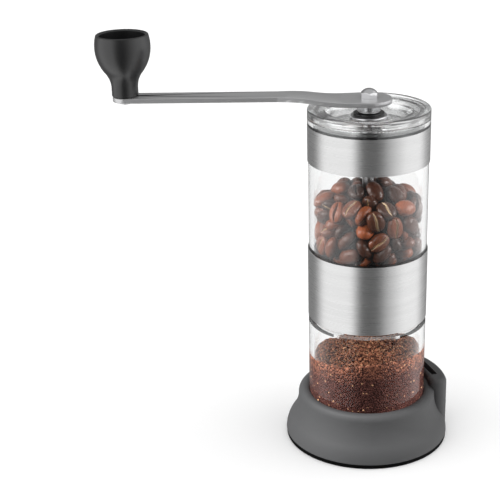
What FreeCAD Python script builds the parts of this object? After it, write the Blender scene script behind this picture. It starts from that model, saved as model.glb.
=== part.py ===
import FreeCAD, Part
import math
import os
import types

import Sketcher

# Hand crank coffee grinder, in millimetres.
# The origin is the middle of the foot's underside, +Z is up, and the crank points along -X at rest.

SIZES = [
    # Base and foot
    ("pad_inset", 0.2, "how far the black foot pad stands back from the base"),
    ("pad_t", 1.8, "height of the foot pad's edge"),
    ("pad_plug_r", 34.0, "radius of the plug that centres the pad in the base"),
    ("pad_plug_t", 0.8, "height of that plug"),
    ("base_floor", 4.2, "thickness of the base under the jar"),
    ("base_edge", 0.5, "round of the base's bottom edge"),
    ("base_round", 14.0, "radius of the lower swell of the base"),
    ("base_flare", 6.6, "how far the foot of the base stands out from the collar"),
    ("collar_h", 20.6, "height of the base's flank, up to the collar's lip"),
    ("collar_w", 5.4, "width of the collar round the jar"),
    ("lip_h", 2.5, "height of the lip's inner edge over the flank"),
    ("base_grip", 0.2, "clearance between base and jar"),
    ("ear_turn", 20.0, "direction of the ear, in degrees from +X towards +Y"),
    ("ear_span", 34.0, "angle between the ear's rounded ends"),
    ("ear_h", 28.0, "height of the ear"),
    ("ear_t", 9.6, "thickness of the ear"),
    ("ear_edge", 2.4, "round of the ear's top edge"),
    ("slot_gap", 0.2, "clearance of the crank's arm in the ear's slot"),
    ("slot_l", 16.5, "length of the ear's slot"),
    ("slot_depth", 14.0, "depth of the ear's slot"),
    ("strap_t", 5.3, "thickness of the strap outside the slot"),
    # Jar
    ("jar_inset", 0.2, "how far the jar stands in from the bands"),
    ("jar_wall", 2.6, "wall of the jar"),
    ("jar_floor", 3.6, "floor of the jar"),
    ("jar_h", 61.4, "height of the jar up to its shoulder"),
    ("jar_edge", 2.2, "round of the jar's bottom edge"),
    ("jar_shoulder_t", 1.6, "thickness of the jar's shoulder"),
    ("jar_shoulder_h", 0.8, "height of the slope inside the shoulder"),
    ("neck_wall", 2.5, "wall of the neck"),
    ("neck_h", 10.0, "height of the neck"),
    ("thread_pitch", 4.0, "pitch of the jar's round thread"),
    ("thread_round", 0.8, "radius of the round thread"),
    ("thread_gap", 0.3, "clearance between each thread and the wall that faces it"),
    ("thread_turns", 1.25, "turns of thread on each side"),
    ("thread_lead", 2.4, "height of the neck below its thread"),
    ("thread_start", 15.0, "direction in which both threads start, in degrees"),
    ("gasket_t", 2.3, "thickness of the gasket"),
    ("gasket_gap", 0.3, "gap over the gasket, and round it"),
    # Hopper and bands
    ("joint_gap", 0.6, "gap between jar shoulder and hopper"),
    ("hopper_wall", 2.45, "wall of the hopper tube"),
    ("hopper_h", 103.8, "height of the hopper"),
    ("hopper_rim_h", 3.8, "height of the hopper's rim"),
    ("rim_r", 30.0, "outside radius of rim, lid and bands"),
    ("rim_edge", 0.5, "round of the rim's edges"),
    ("ledge_t", 3.0, "thickness of the hopper's inner ledge"),
    ("ledge_gap", 0.5, "gap between the ledge and the burr tube"),
    ("band_t", 0.4, "thickness of the steel bands"),
    ("upper_band_h", 18.2, "height of the upper band"),
    ("middle_band_h", 36.0, "height of the middle band"),
    # Burr carrier
    ("carrier_gap", 0.2, "gap between carrier and hopper"),
    ("carrier_h", 20.5, "height of the carrier's wall"),
    ("carrier_wall", 2.2, "wall of the carrier"),
    ("funnel_lip", 1.2, "flat rim of the funnel"),
    ("funnel_t", 2.6, "upright thickness of the funnel"),
    ("throat_r", 12.0, "radius of the funnel's throat"),
    ("throat_h", 1.0, "height of the throat's edge"),
    ("seat_h", 9.0, "height of the burr seat over the ledge"),
    ("seat_gap", 0.05, "clearance of pressed and glued seats"),
    ("tube_wall", 1.8, "wall of the tube that holds the outer burr"),
    ("tube_lip", 0.5, "length of that tube below the burr"),
    ("hub_r", 6.5, "radius of the hub"),
    ("hub_lift", 3.0, "height of the hub's underside over the burr seat"),
    ("hub_h", 16.0, "height of the hub"),
    ("spoke_w", 3.2, "width of the hub's spokes"),
    ("spoke_h", 6.0, "height of the hub's spokes"),
    ("screw_r", 1.0, "radius of the carrier screws"),
    ("screw_edge", 3.875, "distance of their axes from the hopper's wall"),
    ("screw_gap", 0.08, "clearance of the carrier screws"),
    ("screw_l", 9.0, "length of the carrier screws"),
    ("screw_head_r", 2.0, "radius of their heads"),
    ("screw_head_h", 1.2, "height of their heads"),
    ("screw_slot", 0.6, "width and depth of their slots"),
    ("boss_h", 12.0, "height of the screw bosses"),
    ("boss_wall", 0.9, "wall of the screw bosses"),
    # Burrs
    ("burr_r", 17.0, "outside radius of the outer burr"),
    ("burr_h", 17.5, "height of the outer burr"),
    ("burr_mouth_r", 14.0, "bore of the outer burr at its lower edge"),
    ("burr_waist_r", 12.0, "bore of the outer burr over its grinding edge"),
    ("burr_edge_h", 5.0, "height of the grinding edge"),
    ("burr_slots", 20, "teeth of the outer burr"),
    ("burr_slot_w", 1.8, "width of the slots between them"),
    ("burr_slot_r", 15.3, "depth radius of those slots"),
    ("cone_r", 13.7, "radius of the cone burr"),
    ("cone_top_r", 7.0, "top radius of the cone burr"),
    ("cone_h", 15.5, "height of the cone burr"),
    ("cone_drop", 2.0, "reach of the cone below the outer burr"),
    ("cone_bore_r", 5.4, "bore of the cone burr"),
    ("cone_slots", 5, "slots of the cone burr for each breaking flute"),
    ("cone_slot_w", 1.5, "width of those slots"),
    ("cone_slot_r", 11.2, "depth radius of those slots"),
    ("cone_flutes", 4, "breaking flutes of the cone burr"),
    ("cone_flute_w", 2.6, "width of those flutes"),
    ("cone_flute_r", 8.4, "depth radius of those flutes"),
    ("plate_r", 10.0, "radius of the click plate"),
    ("plate_t", 2.0, "thickness of the click plate"),
    ("run_gap", 0.1, "clearance between pieces that turn on each other"),
    # Shaft and grind adjustment
    ("shaft_r", 3.0, "radius of the shaft"),
    ("journal_gap", 0.05, "clearance of the shaft and the spindle in their bushes"),
    ("shaft_flat", 2.3, "distance of the shaft's flats from its middle"),
    ("flat_l", 18.5, "length of the shaft's flats"),
    ("shaft_end_l", 2.5, "reach of the threaded end below the star nut"),
    ("adjust_travel", 1.5, "upward travel of the cone burr"),
    ("bush_wall", 1.45, "wall of the shaft bush"),
    ("bush_flange_r", 5.6, "radius of the shaft bush's flange"),
    ("bush_flange_t", 1.0, "thickness of that flange"),
    ("clip_r", 5.0, "radius of the shaft clip"),
    ("clip_t", 1.0, "thickness of both clips"),
    ("clip_slot", 3.0, "opening of both clips"),
    ("groove_depth", 0.55, "depth of the clip grooves"),
    ("washer_r", 5.6, "radius of the thrust washer"),
    ("washer_t", 0.8, "thickness of the thrust washer"),
    ("spring_r", 4.2, "mean radius of the spring"),
    ("spring_wire_r", 0.4, "radius of the spring's wire"),
    ("spring_turns", 2.5, "turns of the spring"),
    ("star_r", 10.5, "radius of the star nut"),
    ("star_h", 5.4, "height of the star nut's rim"),
    ("star_neck_r", 6.0, "radius of the star nut's neck"),
    ("star_neck_h", 2.5, "height of the star nut's neck"),
    ("star_notches", 8, "finger notches of the star nut"),
    ("star_notch_r", 2.4, "radius of those notches"),
    # Lid
    ("lid_h", 4.0, "height of the lid over the hopper"),
    ("lid_edge", 0.9, "round of the lid's outer edge"),
    ("lid_rim_w", 2.7, "width of the lid's raised rim"),
    ("lid_step", 0.9, "step inside the raised rim"),
    ("lid_wall", 2.3, "wall of the lid"),
    ("dish_top_r", 21.6, "radius of the dish at its top"),
    ("dish_r", 19.6, "radius of the dish's floor"),
    ("dish_depth", 4.8, "depth of the dish's floor under the rim"),
    ("plug_gap", 0.3, "clearance of the lid's plug in the hopper"),
    ("plug_l", 10.0, "length of the lid's plug"),
    ("lid_hub_wall", 2.6, "wall of the lid's hub"),
    ("lid_hub_h", 7.0, "height of the lid's hub"),
    ("ferrule_r", 9.3, "radius of the bright ferrule"),
    ("ferrule_t", 1.4, "height of the ferrule"),
    ("ferrule_edge", 0.9, "round of the ferrule's edge"),
    ("lid_bush_wall", 2.0, "wall of the lid bush"),
    ("lid_bush_r", 7.5, "radius of the lid bush's flange"),
    ("lid_bush_t", 1.0, "thickness of that flange"),
    # Crank
    ("spindle_r", 4.2, "radius of the spindle"),
    ("spindle_collar_r", 5.6, "radius of the spindle's collar"),
    ("spindle_collar_h", 4.55, "height of the spindle's collar"),
    ("spindle_edge", 0.4, "chamfer of the collar"),
    ("spindle_clip_r", 6.0, "radius of the spindle clip"),
    ("hex_r", 2.65, "corner radius of the shaft's hexagon"),
    ("hex_gap", 0.12, "clearance of the hexagon in its socket"),
    ("socket_l", 12.0, "depth of the hexagon socket"),
    ("socket_end", 0.8, "gap over the hexagon"),
    ("square_w", 5.0, "side of the square under the arm"),
    ("square_short", 0.2, "how far the square stops short of the arm's top"),
    ("stud_r", 2.0, "radius of the threaded stud"),
    ("stud_l", 3.2, "length of the threaded stud"),
    ("arm_t", 2.5, "thickness of the arm"),
    ("arm_reach", 118.0, "length of the arm, from axis to axis"),
    ("arm_hub_r", 11.2, "radius of the arm's round end"),
    ("arm_half_w", 6.2, "half the width of the arm at the knob"),
    ("arm_taper_l", 44.0, "length of the arm's taper"),
    ("arm_rise", 2.15, "rise of the arm's double bend"),
    ("bend_start", 13.0, "distance of the double bend from the axis"),
    ("bend_l", 27.0, "length of the double bend"),
    ("nut_flats", 7.5, "width of the cap nut across its flats"),
    ("nut_h", 4.7, "height of the cap nut"),
    ("nut_hex_h", 3.0, "height of the cap nut's hexagon"),
    ("nut_dome_r", 3.7, "radius of the cap nut's dome at its foot"),
    ("nut_bore_h", 3.6, "depth of the cap nut's bore"),
    # Knob
    ("knob_h", 29.8, "height of the knob"),
    ("knob_stem_r", 6.45, "radius of the knob's stem"),
    ("knob_stem_h", 3.8, "height of the straight stem"),
    ("knob_belly_r", 13.5, "largest radius of the knob"),
    ("knob_belly_h", 23.8, "height of that radius"),
    ("knob_belly_round", 20.0, "radius of the knob's swell"),
    ("knob_lip", 0.8, "round of the knob's lip"),
    ("knob_mouth_r", 11.1, "radius of the knob's mouth"),
    ("knob_mouth_h", 6.6, "depth of the knob's straight mouth"),
    ("knob_floor_h", 15.0, "height of the knob's inner floor"),
    ("knob_floor_r", 7.4, "radius of that floor"),
    ("knob_washer_r", 5.4, "radius of the knob washer"),
    ("knob_washer_t", 0.4, "thickness of the knob washer"),
    ("knob_pin_r", 2.5, "radius of the knob stud"),
    ("knob_head_r", 4.4, "radius of the knob stud's head"),
    ("knob_head_h", 2.4, "height of that head"),
    ("knob_head_slot", 1.0, "width and depth of that head's slot"),
    ("rivet_r", 3.2, "radius of the rivet under the arm"),
    ("rivet_h", 1.0, "height of that rivet"),
]


class Size:
    """A length with its value and the sheet expression that gives it."""

    def __init__(self, value, text):
        self.value = value
        self.text = text

    def __add__(self, other):
        other = as_size(other)
        return Size(self.value + other.value, f"({self.text} + {other.text})")

    def __sub__(self, other):
        other = as_size(other)
        return Size(self.value - other.value, f"({self.text} - {other.text})")

    def __mul__(self, other):
        other = as_size(other)
        return Size(self.value * other.value, f"({self.text} * {other.text})")

    def __truediv__(self, other):
        other = as_size(other)
        return Size(self.value / other.value, f"({self.text} / {other.text})")

    def __neg__(self):
        return Size(-self.value, f"(-1 * {self.text})")

    def __radd__(self, other):
        return as_size(other) + self

    def __rsub__(self, other):
        return as_size(other) - self

    def __rmul__(self, other):
        return as_size(other) * self


def as_size(value):
    """A plain number as a size of its own."""
    if isinstance(value, Size):
        return value
    return Size(value, repr(value))


def root(size):
    """The square root of a size."""
    return Size(math.sqrt(size.value), f"sqrt({size.text})")


def cosine(angle):
    """The cosine of an angle in degrees."""
    return Size(math.cos(math.radians(angle.value)), f"cos({angle.text})")


def sine(angle):
    """The sine of an angle in degrees."""
    return Size(math.sin(math.radians(angle.value)), f"sin({angle.text})")


doc = FreeCAD.newDocument("CoffeeGrinder")
sheet = doc.addObject("Spreadsheet::Sheet", "dims")
for row, (alias, value, note) in enumerate(SIZES, 1):
    sheet.set(f"A{row}", note)
    sheet.set(f"B{row}", str(value))
    sheet.setAlias(f"B{row}", alias)
doc.recompute()

d = types.SimpleNamespace(**{alias: Size(value, f"dims.{alias}") for alias, value, _ in SIZES})
ZERO = Size(0.0, "0")
FULL_TURN = 360.0
node_objects = {}


def bind(thing, **sizes):
    """Ties properties of an object to the sheet."""
    for name, size in sizes.items():
        thing.setExpression(name, as_size(size).text)


def place(thing, x=ZERO, y=ZERO, z=ZERO, turn=None):
    """Ties an object's place, and its turn about Z, to the sheet."""
    for axis, size in zip("xyz", (x, y, z)):
        if size is not ZERO:
            thing.setExpression(f"Placement.Base.{axis}", as_size(size).text)
    if turn is not None:
        thing.Placement.Rotation = FreeCAD.Rotation(FreeCAD.Vector(0, 0, 1), as_size(turn).value)
        thing.setExpression("Placement.Rotation.Angle", as_size(turn).text)
    return thing


def node(name, thing):
    """Names a finished sub-part."""
    thing.Label = name
    node_objects[name] = thing
    return thing


def outline(sketch, corners, arcs=None):
    """Draws a closed outline, each corner tied to the sheet.

    arcs maps the number of a side to its radius and its turn, +1 anticlockwise or -1 clockwise.
    """
    arcs = arcs or {}
    geometry = []
    ends = []
    for index, (x, y) in enumerate(corners):
        following = corners[(index + 1) % len(corners)]
        first = FreeCAD.Vector(x.value, y.value, 0)
        last = FreeCAD.Vector(following[0].value, following[1].value, 0)
        if index not in arcs:
            geometry.append(Part.LineSegment(first, last))
            ends.append((1, 2))
            continue
        radius, turn = arcs[index]
        chord = last - first
        height = math.sqrt(max(radius.value ** 2 - chord.Length ** 2 / 4, 0.0))
        aside = FreeCAD.Vector(-chord.y, chord.x, 0).normalize()
        middle = (first + last) / 2 + aside * height * turn
        circle = Part.Circle(middle, FreeCAD.Vector(0, 0, 1), radius.value)
        begin, finish = (first, last) if turn > 0 else (last, first)
        angles = [math.atan2(point.y - middle.y, point.x - middle.x) for point in (begin, finish)]
        geometry.append(Part.ArcOfCircle(circle, angles[0], angles[1]))
        ends.append((1, 2) if turn > 0 else (2, 1))
    sketch.addGeometry(geometry, False)
    for index, (x, y) in enumerate(corners):
        start = ends[index][0]
        before = index - 1 if index else len(corners) - 1
        sketch.addConstraint(Sketcher.Constraint("Coincident", before, ends[before][1], index, start))
        fix_corner(sketch, index, start, "DistanceX", x, -2)
        fix_corner(sketch, index, start, "DistanceY", y, -1)
        if index in arcs:
            number = sketch.addConstraint(Sketcher.Constraint("Radius", index, arcs[index][0].value))
            sketch.renameConstraint(number, f"radius{index}")
            sketch.setExpression(f"Constraints.radius{index}", arcs[index][0].text)


def fix_corner(sketch, index, end, kind, size, axis):
    """Ties one coordinate of a corner to the sheet, or puts the corner on an axis."""
    if size is ZERO:
        sketch.addConstraint(Sketcher.Constraint("PointOnObject", index, end, axis))
        return
    number = sketch.addConstraint(Sketcher.Constraint(kind, -1, 1, index, end, size.value))
    sketch.renameConstraint(number, f"{kind}{index}")
    sketch.setExpression(f"Constraints.{kind}{index}", size.text)


def circle_outline(sketch, x, radius):
    """Draws a circle on the sketch's own X axis."""
    middle = FreeCAD.Vector(x.value, 0, 0)
    sketch.addGeometry(Part.Circle(middle, FreeCAD.Vector(0, 0, 1), radius.value), False)
    sketch.addConstraint(Sketcher.Constraint("PointOnObject", 0, 3, -1))
    for kind, size in (("DistanceX", x), ("Radius", radius)):
        arguments = (-1, 1, 0, 3) if kind == "DistanceX" else (0,)
        number = sketch.addConstraint(Sketcher.Constraint(kind, *arguments, size.value))
        sketch.renameConstraint(number, f"circle_{kind}")
        sketch.setExpression(f"Constraints.circle_{kind}", size.text)


def body_sketch(body, name, role):
    """A sketch on one of the body's own planes."""
    plane = next(item for item in body.Origin.OriginFeatures if getattr(item, "Role", "") == role)
    sketch = body.newObject("Sketcher::SketchObject", name)
    sketch.AttachmentSupport = [(plane, "")]
    sketch.MapMode = "FlatFace"
    return sketch


def turned(name, corners, arcs=None):
    """A body turned about Z from an outline of radii and heights."""
    body = doc.addObject("PartDesign::Body", name)
    sketch = body_sketch(body, f"{name}_profile", "XZ_Plane")
    outline(sketch, corners, arcs)
    lathe = body.newObject("PartDesign::Revolution", f"{name}_turned")
    lathe.Profile = sketch
    lathe.ReferenceAxis = (sketch, ["V_Axis"])
    lathe.Angle = FULL_TURN
    return body


def ring(name, inner, outer, low, high):
    """A plain ring about Z."""
    return turned(name, [(inner, low), (outer, low), (outer, high), (inner, high)])


def slots_round(body, name, inner, outer, half_width, count):
    """Cuts slots from end to end of a body, in even steps about Z."""
    sketch = body_sketch(body, f"{name}_outline", "XY_Plane")
    outline(sketch, [(inner, -half_width), (outer, -half_width), (outer, half_width), (inner, half_width)])
    pocket = body.newObject("PartDesign::Pocket", f"{name}_cut")
    pocket.Profile = sketch
    pocket.Type = "ThroughAll"
    pocket.Midplane = True
    pattern = body.newObject("PartDesign::PolarPattern", f"{name}_pattern")
    pattern.Originals = [pocket]
    pattern.Axis = (sketch, ["N_Axis"])
    pattern.Angle = FULL_TURN
    bind(pattern, Occurrences=count)
    body.Tip = pattern


def cylinder(name, radius, low, high, x=ZERO, y=ZERO):
    """An upright cylinder between two heights."""
    thing = doc.addObject("Part::Cylinder", name)
    bind(thing, Radius=radius, Height=high - low)
    return place(thing, x, y, low)


def prism(name, corner_r, low, high):
    """An upright hexagon between two heights."""
    thing = doc.addObject("Part::Prism", name)
    thing.Polygon = 6
    bind(thing, Circumradius=corner_r, Height=high - low)
    return place(thing, z=low)


def block(name, x, y, z):
    """A box between the given limits along X, Y and Z."""
    thing = doc.addObject("Part::Box", name)
    bind(thing, Length=x[1] - x[0], Width=y[1] - y[0], Height=z[1] - z[0])
    return place(thing, x[0], y[0], z[0])


def joined(name, things):
    """The union of several objects."""
    thing = doc.addObject("Part::MultiFuse", name)
    thing.Shapes = things
    return thing


def cut(name, base, tools):
    """An object less one or more others."""
    tool = tools[0] if len(tools) == 1 else joined(f"{name}_tools", tools)
    thing = doc.addObject("Part::Cut", name)
    thing.Base = base
    thing.Tool = tool
    return thing


def common(name, first, second):
    """What two objects share."""
    thing = doc.addObject("Part::Common", name)
    thing.Base = first
    thing.Tool = second
    return thing


def flat_outline(name, corners, arcs, upright):
    """A loose sketch, flat on XY or upright on XZ."""
    sketch = doc.addObject("Sketcher::SketchObject", name)
    if upright:
        sketch.Placement.Rotation = FreeCAD.Rotation(FreeCAD.Vector(1, 0, 0), 90)
    outline(sketch, corners, arcs)
    return sketch


def extruded(name, sketch, direction, length, both_ways):
    """A sketch drawn out along a direction."""
    thing = doc.addObject("Part::Extrusion", name)
    thing.Base = sketch
    thing.DirMode = "Custom"
    thing.Dir = direction
    thing.Solid = True
    thing.Symmetric = both_ways
    bind(thing, LengthFwd=length)
    return thing


def biarc(first, first_way, last, last_way):
    """Two arcs that leave one point and reach another along the given directions."""
    span = last - first
    ways = first_way + last_way
    spread = 2 * (1 - first_way.dot(last_way))
    along = span.dot(ways)
    reach = (math.sqrt(along ** 2 + spread * span.dot(span)) - along) / spread
    corner_a = first + first_way * reach
    corner_b = last - last_way * reach
    joint = (corner_a + corner_b) / 2
    arcs = []
    for begin, corner, finish in ((first, corner_a, joint), (joint, corner_b, last)):
        chord_middle = (begin + finish) / 2
        lean = (corner - begin).getAngle(finish - begin)
        middle = chord_middle + (corner - chord_middle) * (math.tan(lean / 2) / math.tan(lean))
        arcs.append(Part.Arc(begin, middle, finish).toShape())
    return arcs


def coil(radius, wire_r, pitch, turns, low):
    """A round wire wound about Z, in quarter turns from the height low."""
    quarters = round(4 * turns)
    points = []
    ways = []
    for quarter in range(quarters + 1):
        angle = quarter * math.pi / 2
        across = radius * math.cos(angle)
        along = radius * math.sin(angle)
        points.append(FreeCAD.Vector(across, along, low + pitch * quarter / 4))
        way = FreeCAD.Vector(-along, across, pitch / (2 * math.pi))
        ways.append(way.normalize())
    edges = []
    for index in range(quarters):
        edges += biarc(points[index], ways[index], points[index + 1], ways[index + 1])
    section = Part.Wire(Part.makeCircle(wire_r, points[0], ways[0]))
    shell = Part.BRepOffsetAPI.MakePipeShell(Part.Wire(edges))
    shell.add(section)
    shell.build()
    shell.makeSolid()
    return shell.shape()


# Heights that the pieces share, worked upwards from the foot
base_z = d.pad_t
jar_z = base_z + d.base_floor
shoulder_z = jar_z + d.jar_h
neck_top_z = shoulder_z + d.neck_h
hopper_z = shoulder_z + d.joint_gap
gasket_top_z = neck_top_z + d.gasket_t
ledge_z = gasket_top_z + d.gasket_gap
ledge_top_z = ledge_z + d.ledge_t
hopper_top_z = hopper_z + d.hopper_h
rim_z = hopper_top_z - d.hopper_rim_h
lid_top_z = hopper_top_z + d.lid_h
dish_z = lid_top_z - d.dish_depth
lid_hub_z = dish_z - d.lid_hub_h
ferrule_top_z = dish_z + d.ferrule_t
lid_bush_top_z = ferrule_top_z + d.lid_bush_t
collar_z = lid_bush_top_z + d.run_gap
arm_z = collar_z + d.spindle_collar_h
arm_top_z = arm_z + d.arm_t
arm_end_z = arm_z + d.arm_rise
arm_end_top_z = arm_top_z + d.arm_rise
knob_z = arm_end_top_z + d.knob_washer_t + d.run_gap
seat_z = ledge_top_z + d.seat_h
burr_z = seat_z - d.burr_h
hub_z = seat_z + d.hub_lift
hub_top_z = hub_z + d.hub_h
bush_top_z = hub_top_z + d.bush_flange_t
cone_z = burr_z - d.cone_drop
cone_top_z = cone_z + d.cone_h
plate_z = cone_z - d.plate_t
star_top_z = plate_z - d.run_gap
star_z = star_top_z - d.star_neck_h - d.star_h
washer_top_z = hub_z - d.run_gap
washer_z = washer_top_z - d.washer_t
spindle_z = lid_hub_z - d.socket_l

# Radii that follow the bands: the hopper tube inside them, the neck inside the tube, and the jar below
hopper_r = d.rim_r - d.band_t - d.seat_gap
hopper_in_r = hopper_r - d.hopper_wall
neck_r = hopper_in_r - d.thread_round - d.thread_gap
jar_r = d.rim_r - d.jar_inset

# Radii of the base: the jar's socket, the collar's wall and the foot
socket_r = jar_r + d.base_grip
collar_r = socket_r + d.collar_w
base_r = collar_r + d.base_flare

# Foot pad
pad_r = base_r - d.pad_inset
node("foot_pad", turned(
    "foot_pad",
    [
        (ZERO, ZERO),
        (pad_r, ZERO),
        (pad_r, d.pad_t),
        (d.pad_plug_r, d.pad_t),
        (d.pad_plug_r, d.pad_t + d.pad_plug_t),
        (ZERO, d.pad_t + d.pad_plug_t),
    ],
))

# Silicone base: a flared skirt, its ear, the jar's socket and the slot
flank_z = base_z + d.collar_h
lip_in_z = flank_z + d.lip_h
# The flank's swell and hollow are two arcs that meet smoothly, each upright at its other end
both_rounds = (d.base_flare * d.base_flare + d.collar_h * d.collar_h) / (2 * d.base_flare)
hollow_round = both_rounds - d.base_round
swell_share = d.base_round / both_rounds
swell_r = base_r - d.base_round + swell_share * (both_rounds - d.base_flare)
swell_z = base_z + swell_share * d.collar_h
lip_round = (d.collar_w * d.collar_w + d.lip_h * d.lip_h) / (2 * d.collar_w)
edge_drop = d.base_round - root(d.base_round * d.base_round - d.base_edge * d.base_edge)
skirt = turned(
    "base_skirt",
    [
        (ZERO, base_z),
        (base_r - d.base_edge, base_z),
        (base_r - edge_drop, base_z + d.base_edge),
        (swell_r, swell_z),
        (collar_r, flank_z),
        (socket_r, lip_in_z),
        (ZERO, lip_in_z),
    ],
    {1: (d.base_edge, 1), 2: (d.base_round, 1), 3: (hollow_round, -1), 4: (lip_round, 1)},
)
ear_z = base_z + d.base_edge
ear_top_z = base_z + d.ear_h
ear_r = base_r - edge_drop
ear_middle_r = ear_r - d.ear_t / 2
ear_start = d.ear_turn - d.ear_span / 2
ear_sector = place(doc.addObject("Part::Cylinder", "ear_sector"), z=ear_z, turn=ear_start)
bind(ear_sector, Radius=ear_r, Height=ear_top_z - ear_z, Angle=d.ear_span)
ear_core = cylinder("ear_core", ear_r - d.ear_t, base_z, ear_top_z + d.ear_edge)
ear_ends = []
for side in (-1, 1):
    angle = d.ear_turn + d.ear_span * side / 2
    ear_ends.append(cylinder(
        f"ear_end_{len(ear_ends)}",
        d.ear_t / 2,
        ear_z,
        ear_top_z,
        ear_middle_r * cosine(angle),
        ear_middle_r * sine(angle),
    ))
ear = joined("ear", [cut("ear_wall", ear_sector, [ear_core])] + ear_ends)
doc.recompute()
ear_round = doc.addObject("Part::Fillet", "ear_round")
ear_round.Base = ear
ear_round.Edges = [
    (number, d.ear_edge.value, d.ear_edge.value)
    for number, edge in enumerate(ear.Shape.Edges, 1)
    if min(vertex.Z for vertex in edge.Vertexes) > ear_top_z.value - d.ear_edge.value / 2
]
socket = cylinder("base_socket", socket_r, jar_z, ear_top_z + d.ear_edge)
slot_out = ear_r - d.strap_t
slot_in = slot_out - d.arm_t - 2 * d.slot_gap
slot_z = ear_top_z - d.slot_depth
slot = block(
    "ear_slot",
    (slot_in, slot_out),
    (-d.slot_l / 2, d.slot_l / 2),
    (slot_z, ear_top_z + d.ear_edge),
)
slot_x = slot_in * cosine(d.ear_turn) + d.slot_l / 2 * sine(d.ear_turn)
slot_y = slot_in * sine(d.ear_turn) - d.slot_l / 2 * cosine(d.ear_turn)
place(slot, slot_x, slot_y, slot_z, d.ear_turn)
plug_recess = cylinder("plug_recess", d.pad_plug_r + d.seat_gap, base_z, base_z + d.pad_plug_t)
base_whole = joined("base_whole", [skirt, ear_round])
node("silicone_base", cut("base_finished", base_whole, [socket, slot, plug_recess]))

# Grounds jar with its round thread
jar_in_r = jar_r - d.jar_wall
neck_in_r = neck_r - d.neck_wall
jar_glass = turned(
    "jar_glass",
    [
        (ZERO, jar_z),
        (jar_r - d.jar_edge, jar_z),
        (jar_r, jar_z + d.jar_edge),
        (jar_r, shoulder_z),
        (neck_r, shoulder_z),
        (neck_r, neck_top_z),
        (neck_in_r, neck_top_z),
        (neck_in_r, shoulder_z - d.jar_shoulder_t),
        (jar_in_r, shoulder_z - d.jar_shoulder_t - d.jar_shoulder_h),
        (jar_in_r, jar_z + d.jar_floor + d.jar_edge),
        (jar_in_r - d.jar_edge, jar_z + d.jar_floor),
        (ZERO, jar_z + d.jar_floor),
    ],
    {1: (d.jar_edge, 1), 9: (d.jar_edge, -1)},
)
jar_thread = doc.addObject("Part::Feature", "jar_thread")
thread_z = shoulder_z + d.thread_lead
jar_thread.Shape = coil(
    neck_r.value, d.thread_round.value, d.thread_pitch.value, d.thread_turns.value, thread_z.value)
place(jar_thread, turn=d.thread_start)
node("grounds_jar", joined("jar_finished", [jar_glass, jar_thread]))

# Gasket on the neck
node("jar_gasket", ring(
    "jar_gasket",
    neck_in_r + d.gasket_gap,
    neck_r - d.gasket_gap,
    neck_top_z,
    gasket_top_z,
))

# Radii that hopper, carrier and screws share
carrier_r = hopper_in_r - d.carrier_gap
wall_in_r = carrier_r - d.carrier_wall
tube_in_r = d.burr_r + d.seat_gap
tube_r = tube_in_r + d.tube_wall
ledge_hole_r = tube_r + d.ledge_gap
screw_at = hopper_in_r - d.screw_edge
SCREW_TURNS = (0.0, 120.0, 240.0)

# Bean hopper: a tube with a rim, an inner ledge, a round thread and three countersunk holes
hopper_tube = turned(
    "hopper_tube",
    [
        (hopper_in_r, hopper_z),
        (hopper_r, hopper_z),
        (hopper_r, rim_z),
        (d.rim_r, rim_z),
        (d.rim_r, hopper_top_z - d.rim_edge),
        (d.rim_r - d.rim_edge, hopper_top_z),
        (hopper_in_r, hopper_top_z),
        (hopper_in_r, ledge_top_z),
        (ledge_hole_r, ledge_top_z),
        (ledge_hole_r, ledge_z),
        (hopper_in_r, ledge_z),
    ],
    {4: (d.rim_edge, 1)},
)
hopper_thread = doc.addObject("Part::Feature", "hopper_thread")
hopper_thread.Shape = coil(
    hopper_in_r.value,
    d.thread_round.value,
    d.thread_pitch.value,
    d.thread_turns.value,
    (thread_z + d.thread_pitch / 2).value,
)
place(hopper_thread, turn=d.thread_start)


def screw_shape(name, gap, length, turn):
    """A countersunk screw, or with a gap the hole for one, at its place in the ring of three."""
    shape = turned(
        name,
        [
            (ZERO, ledge_z),
            (d.screw_head_r + gap, ledge_z),
            (d.screw_r + gap, ledge_z + d.screw_head_h),
            (d.screw_r + gap, ledge_z + length),
            (ZERO, ledge_z + length),
        ],
    )
    angle = as_size(turn)
    return place(shape, screw_at * cosine(angle), screw_at * sine(angle))


hopper_holes = [
    screw_shape(f"hopper_hole_{index}", d.screw_gap, d.screw_l + d.screw_gap, turn)
    for index, turn in enumerate(SCREW_TURNS)
]
hopper_drilled = cut("hopper_drilled", hopper_tube, hopper_holes)
node("bean_hopper", joined("hopper_finished", [hopper_drilled, hopper_thread]))

# Steel bands
band_in_r = d.rim_r - d.band_t
upper_band_z = rim_z - d.upper_band_h
node("upper_band", ring("upper_band", band_in_r, d.rim_r, upper_band_z, rim_z))
node("middle_band", ring("middle_band", band_in_r, d.rim_r, hopper_z, hopper_z + d.middle_band_h))

# Burr carrier: funnel, burr tube, hub on three spokes, and three screw bosses
carrier_top_z = ledge_top_z + d.carrier_h
funnel_r = carrier_r - d.funnel_lip
throat_z = seat_z + d.throat_h
funnel_slope = (carrier_top_z - throat_z) / (funnel_r - d.throat_r)
tube_z = burr_z - d.tube_lip


def funnel_under(radius):
    """Height of the funnel's underside at a radius."""
    return throat_z + (radius - d.throat_r) * funnel_slope - d.funnel_t


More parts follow.
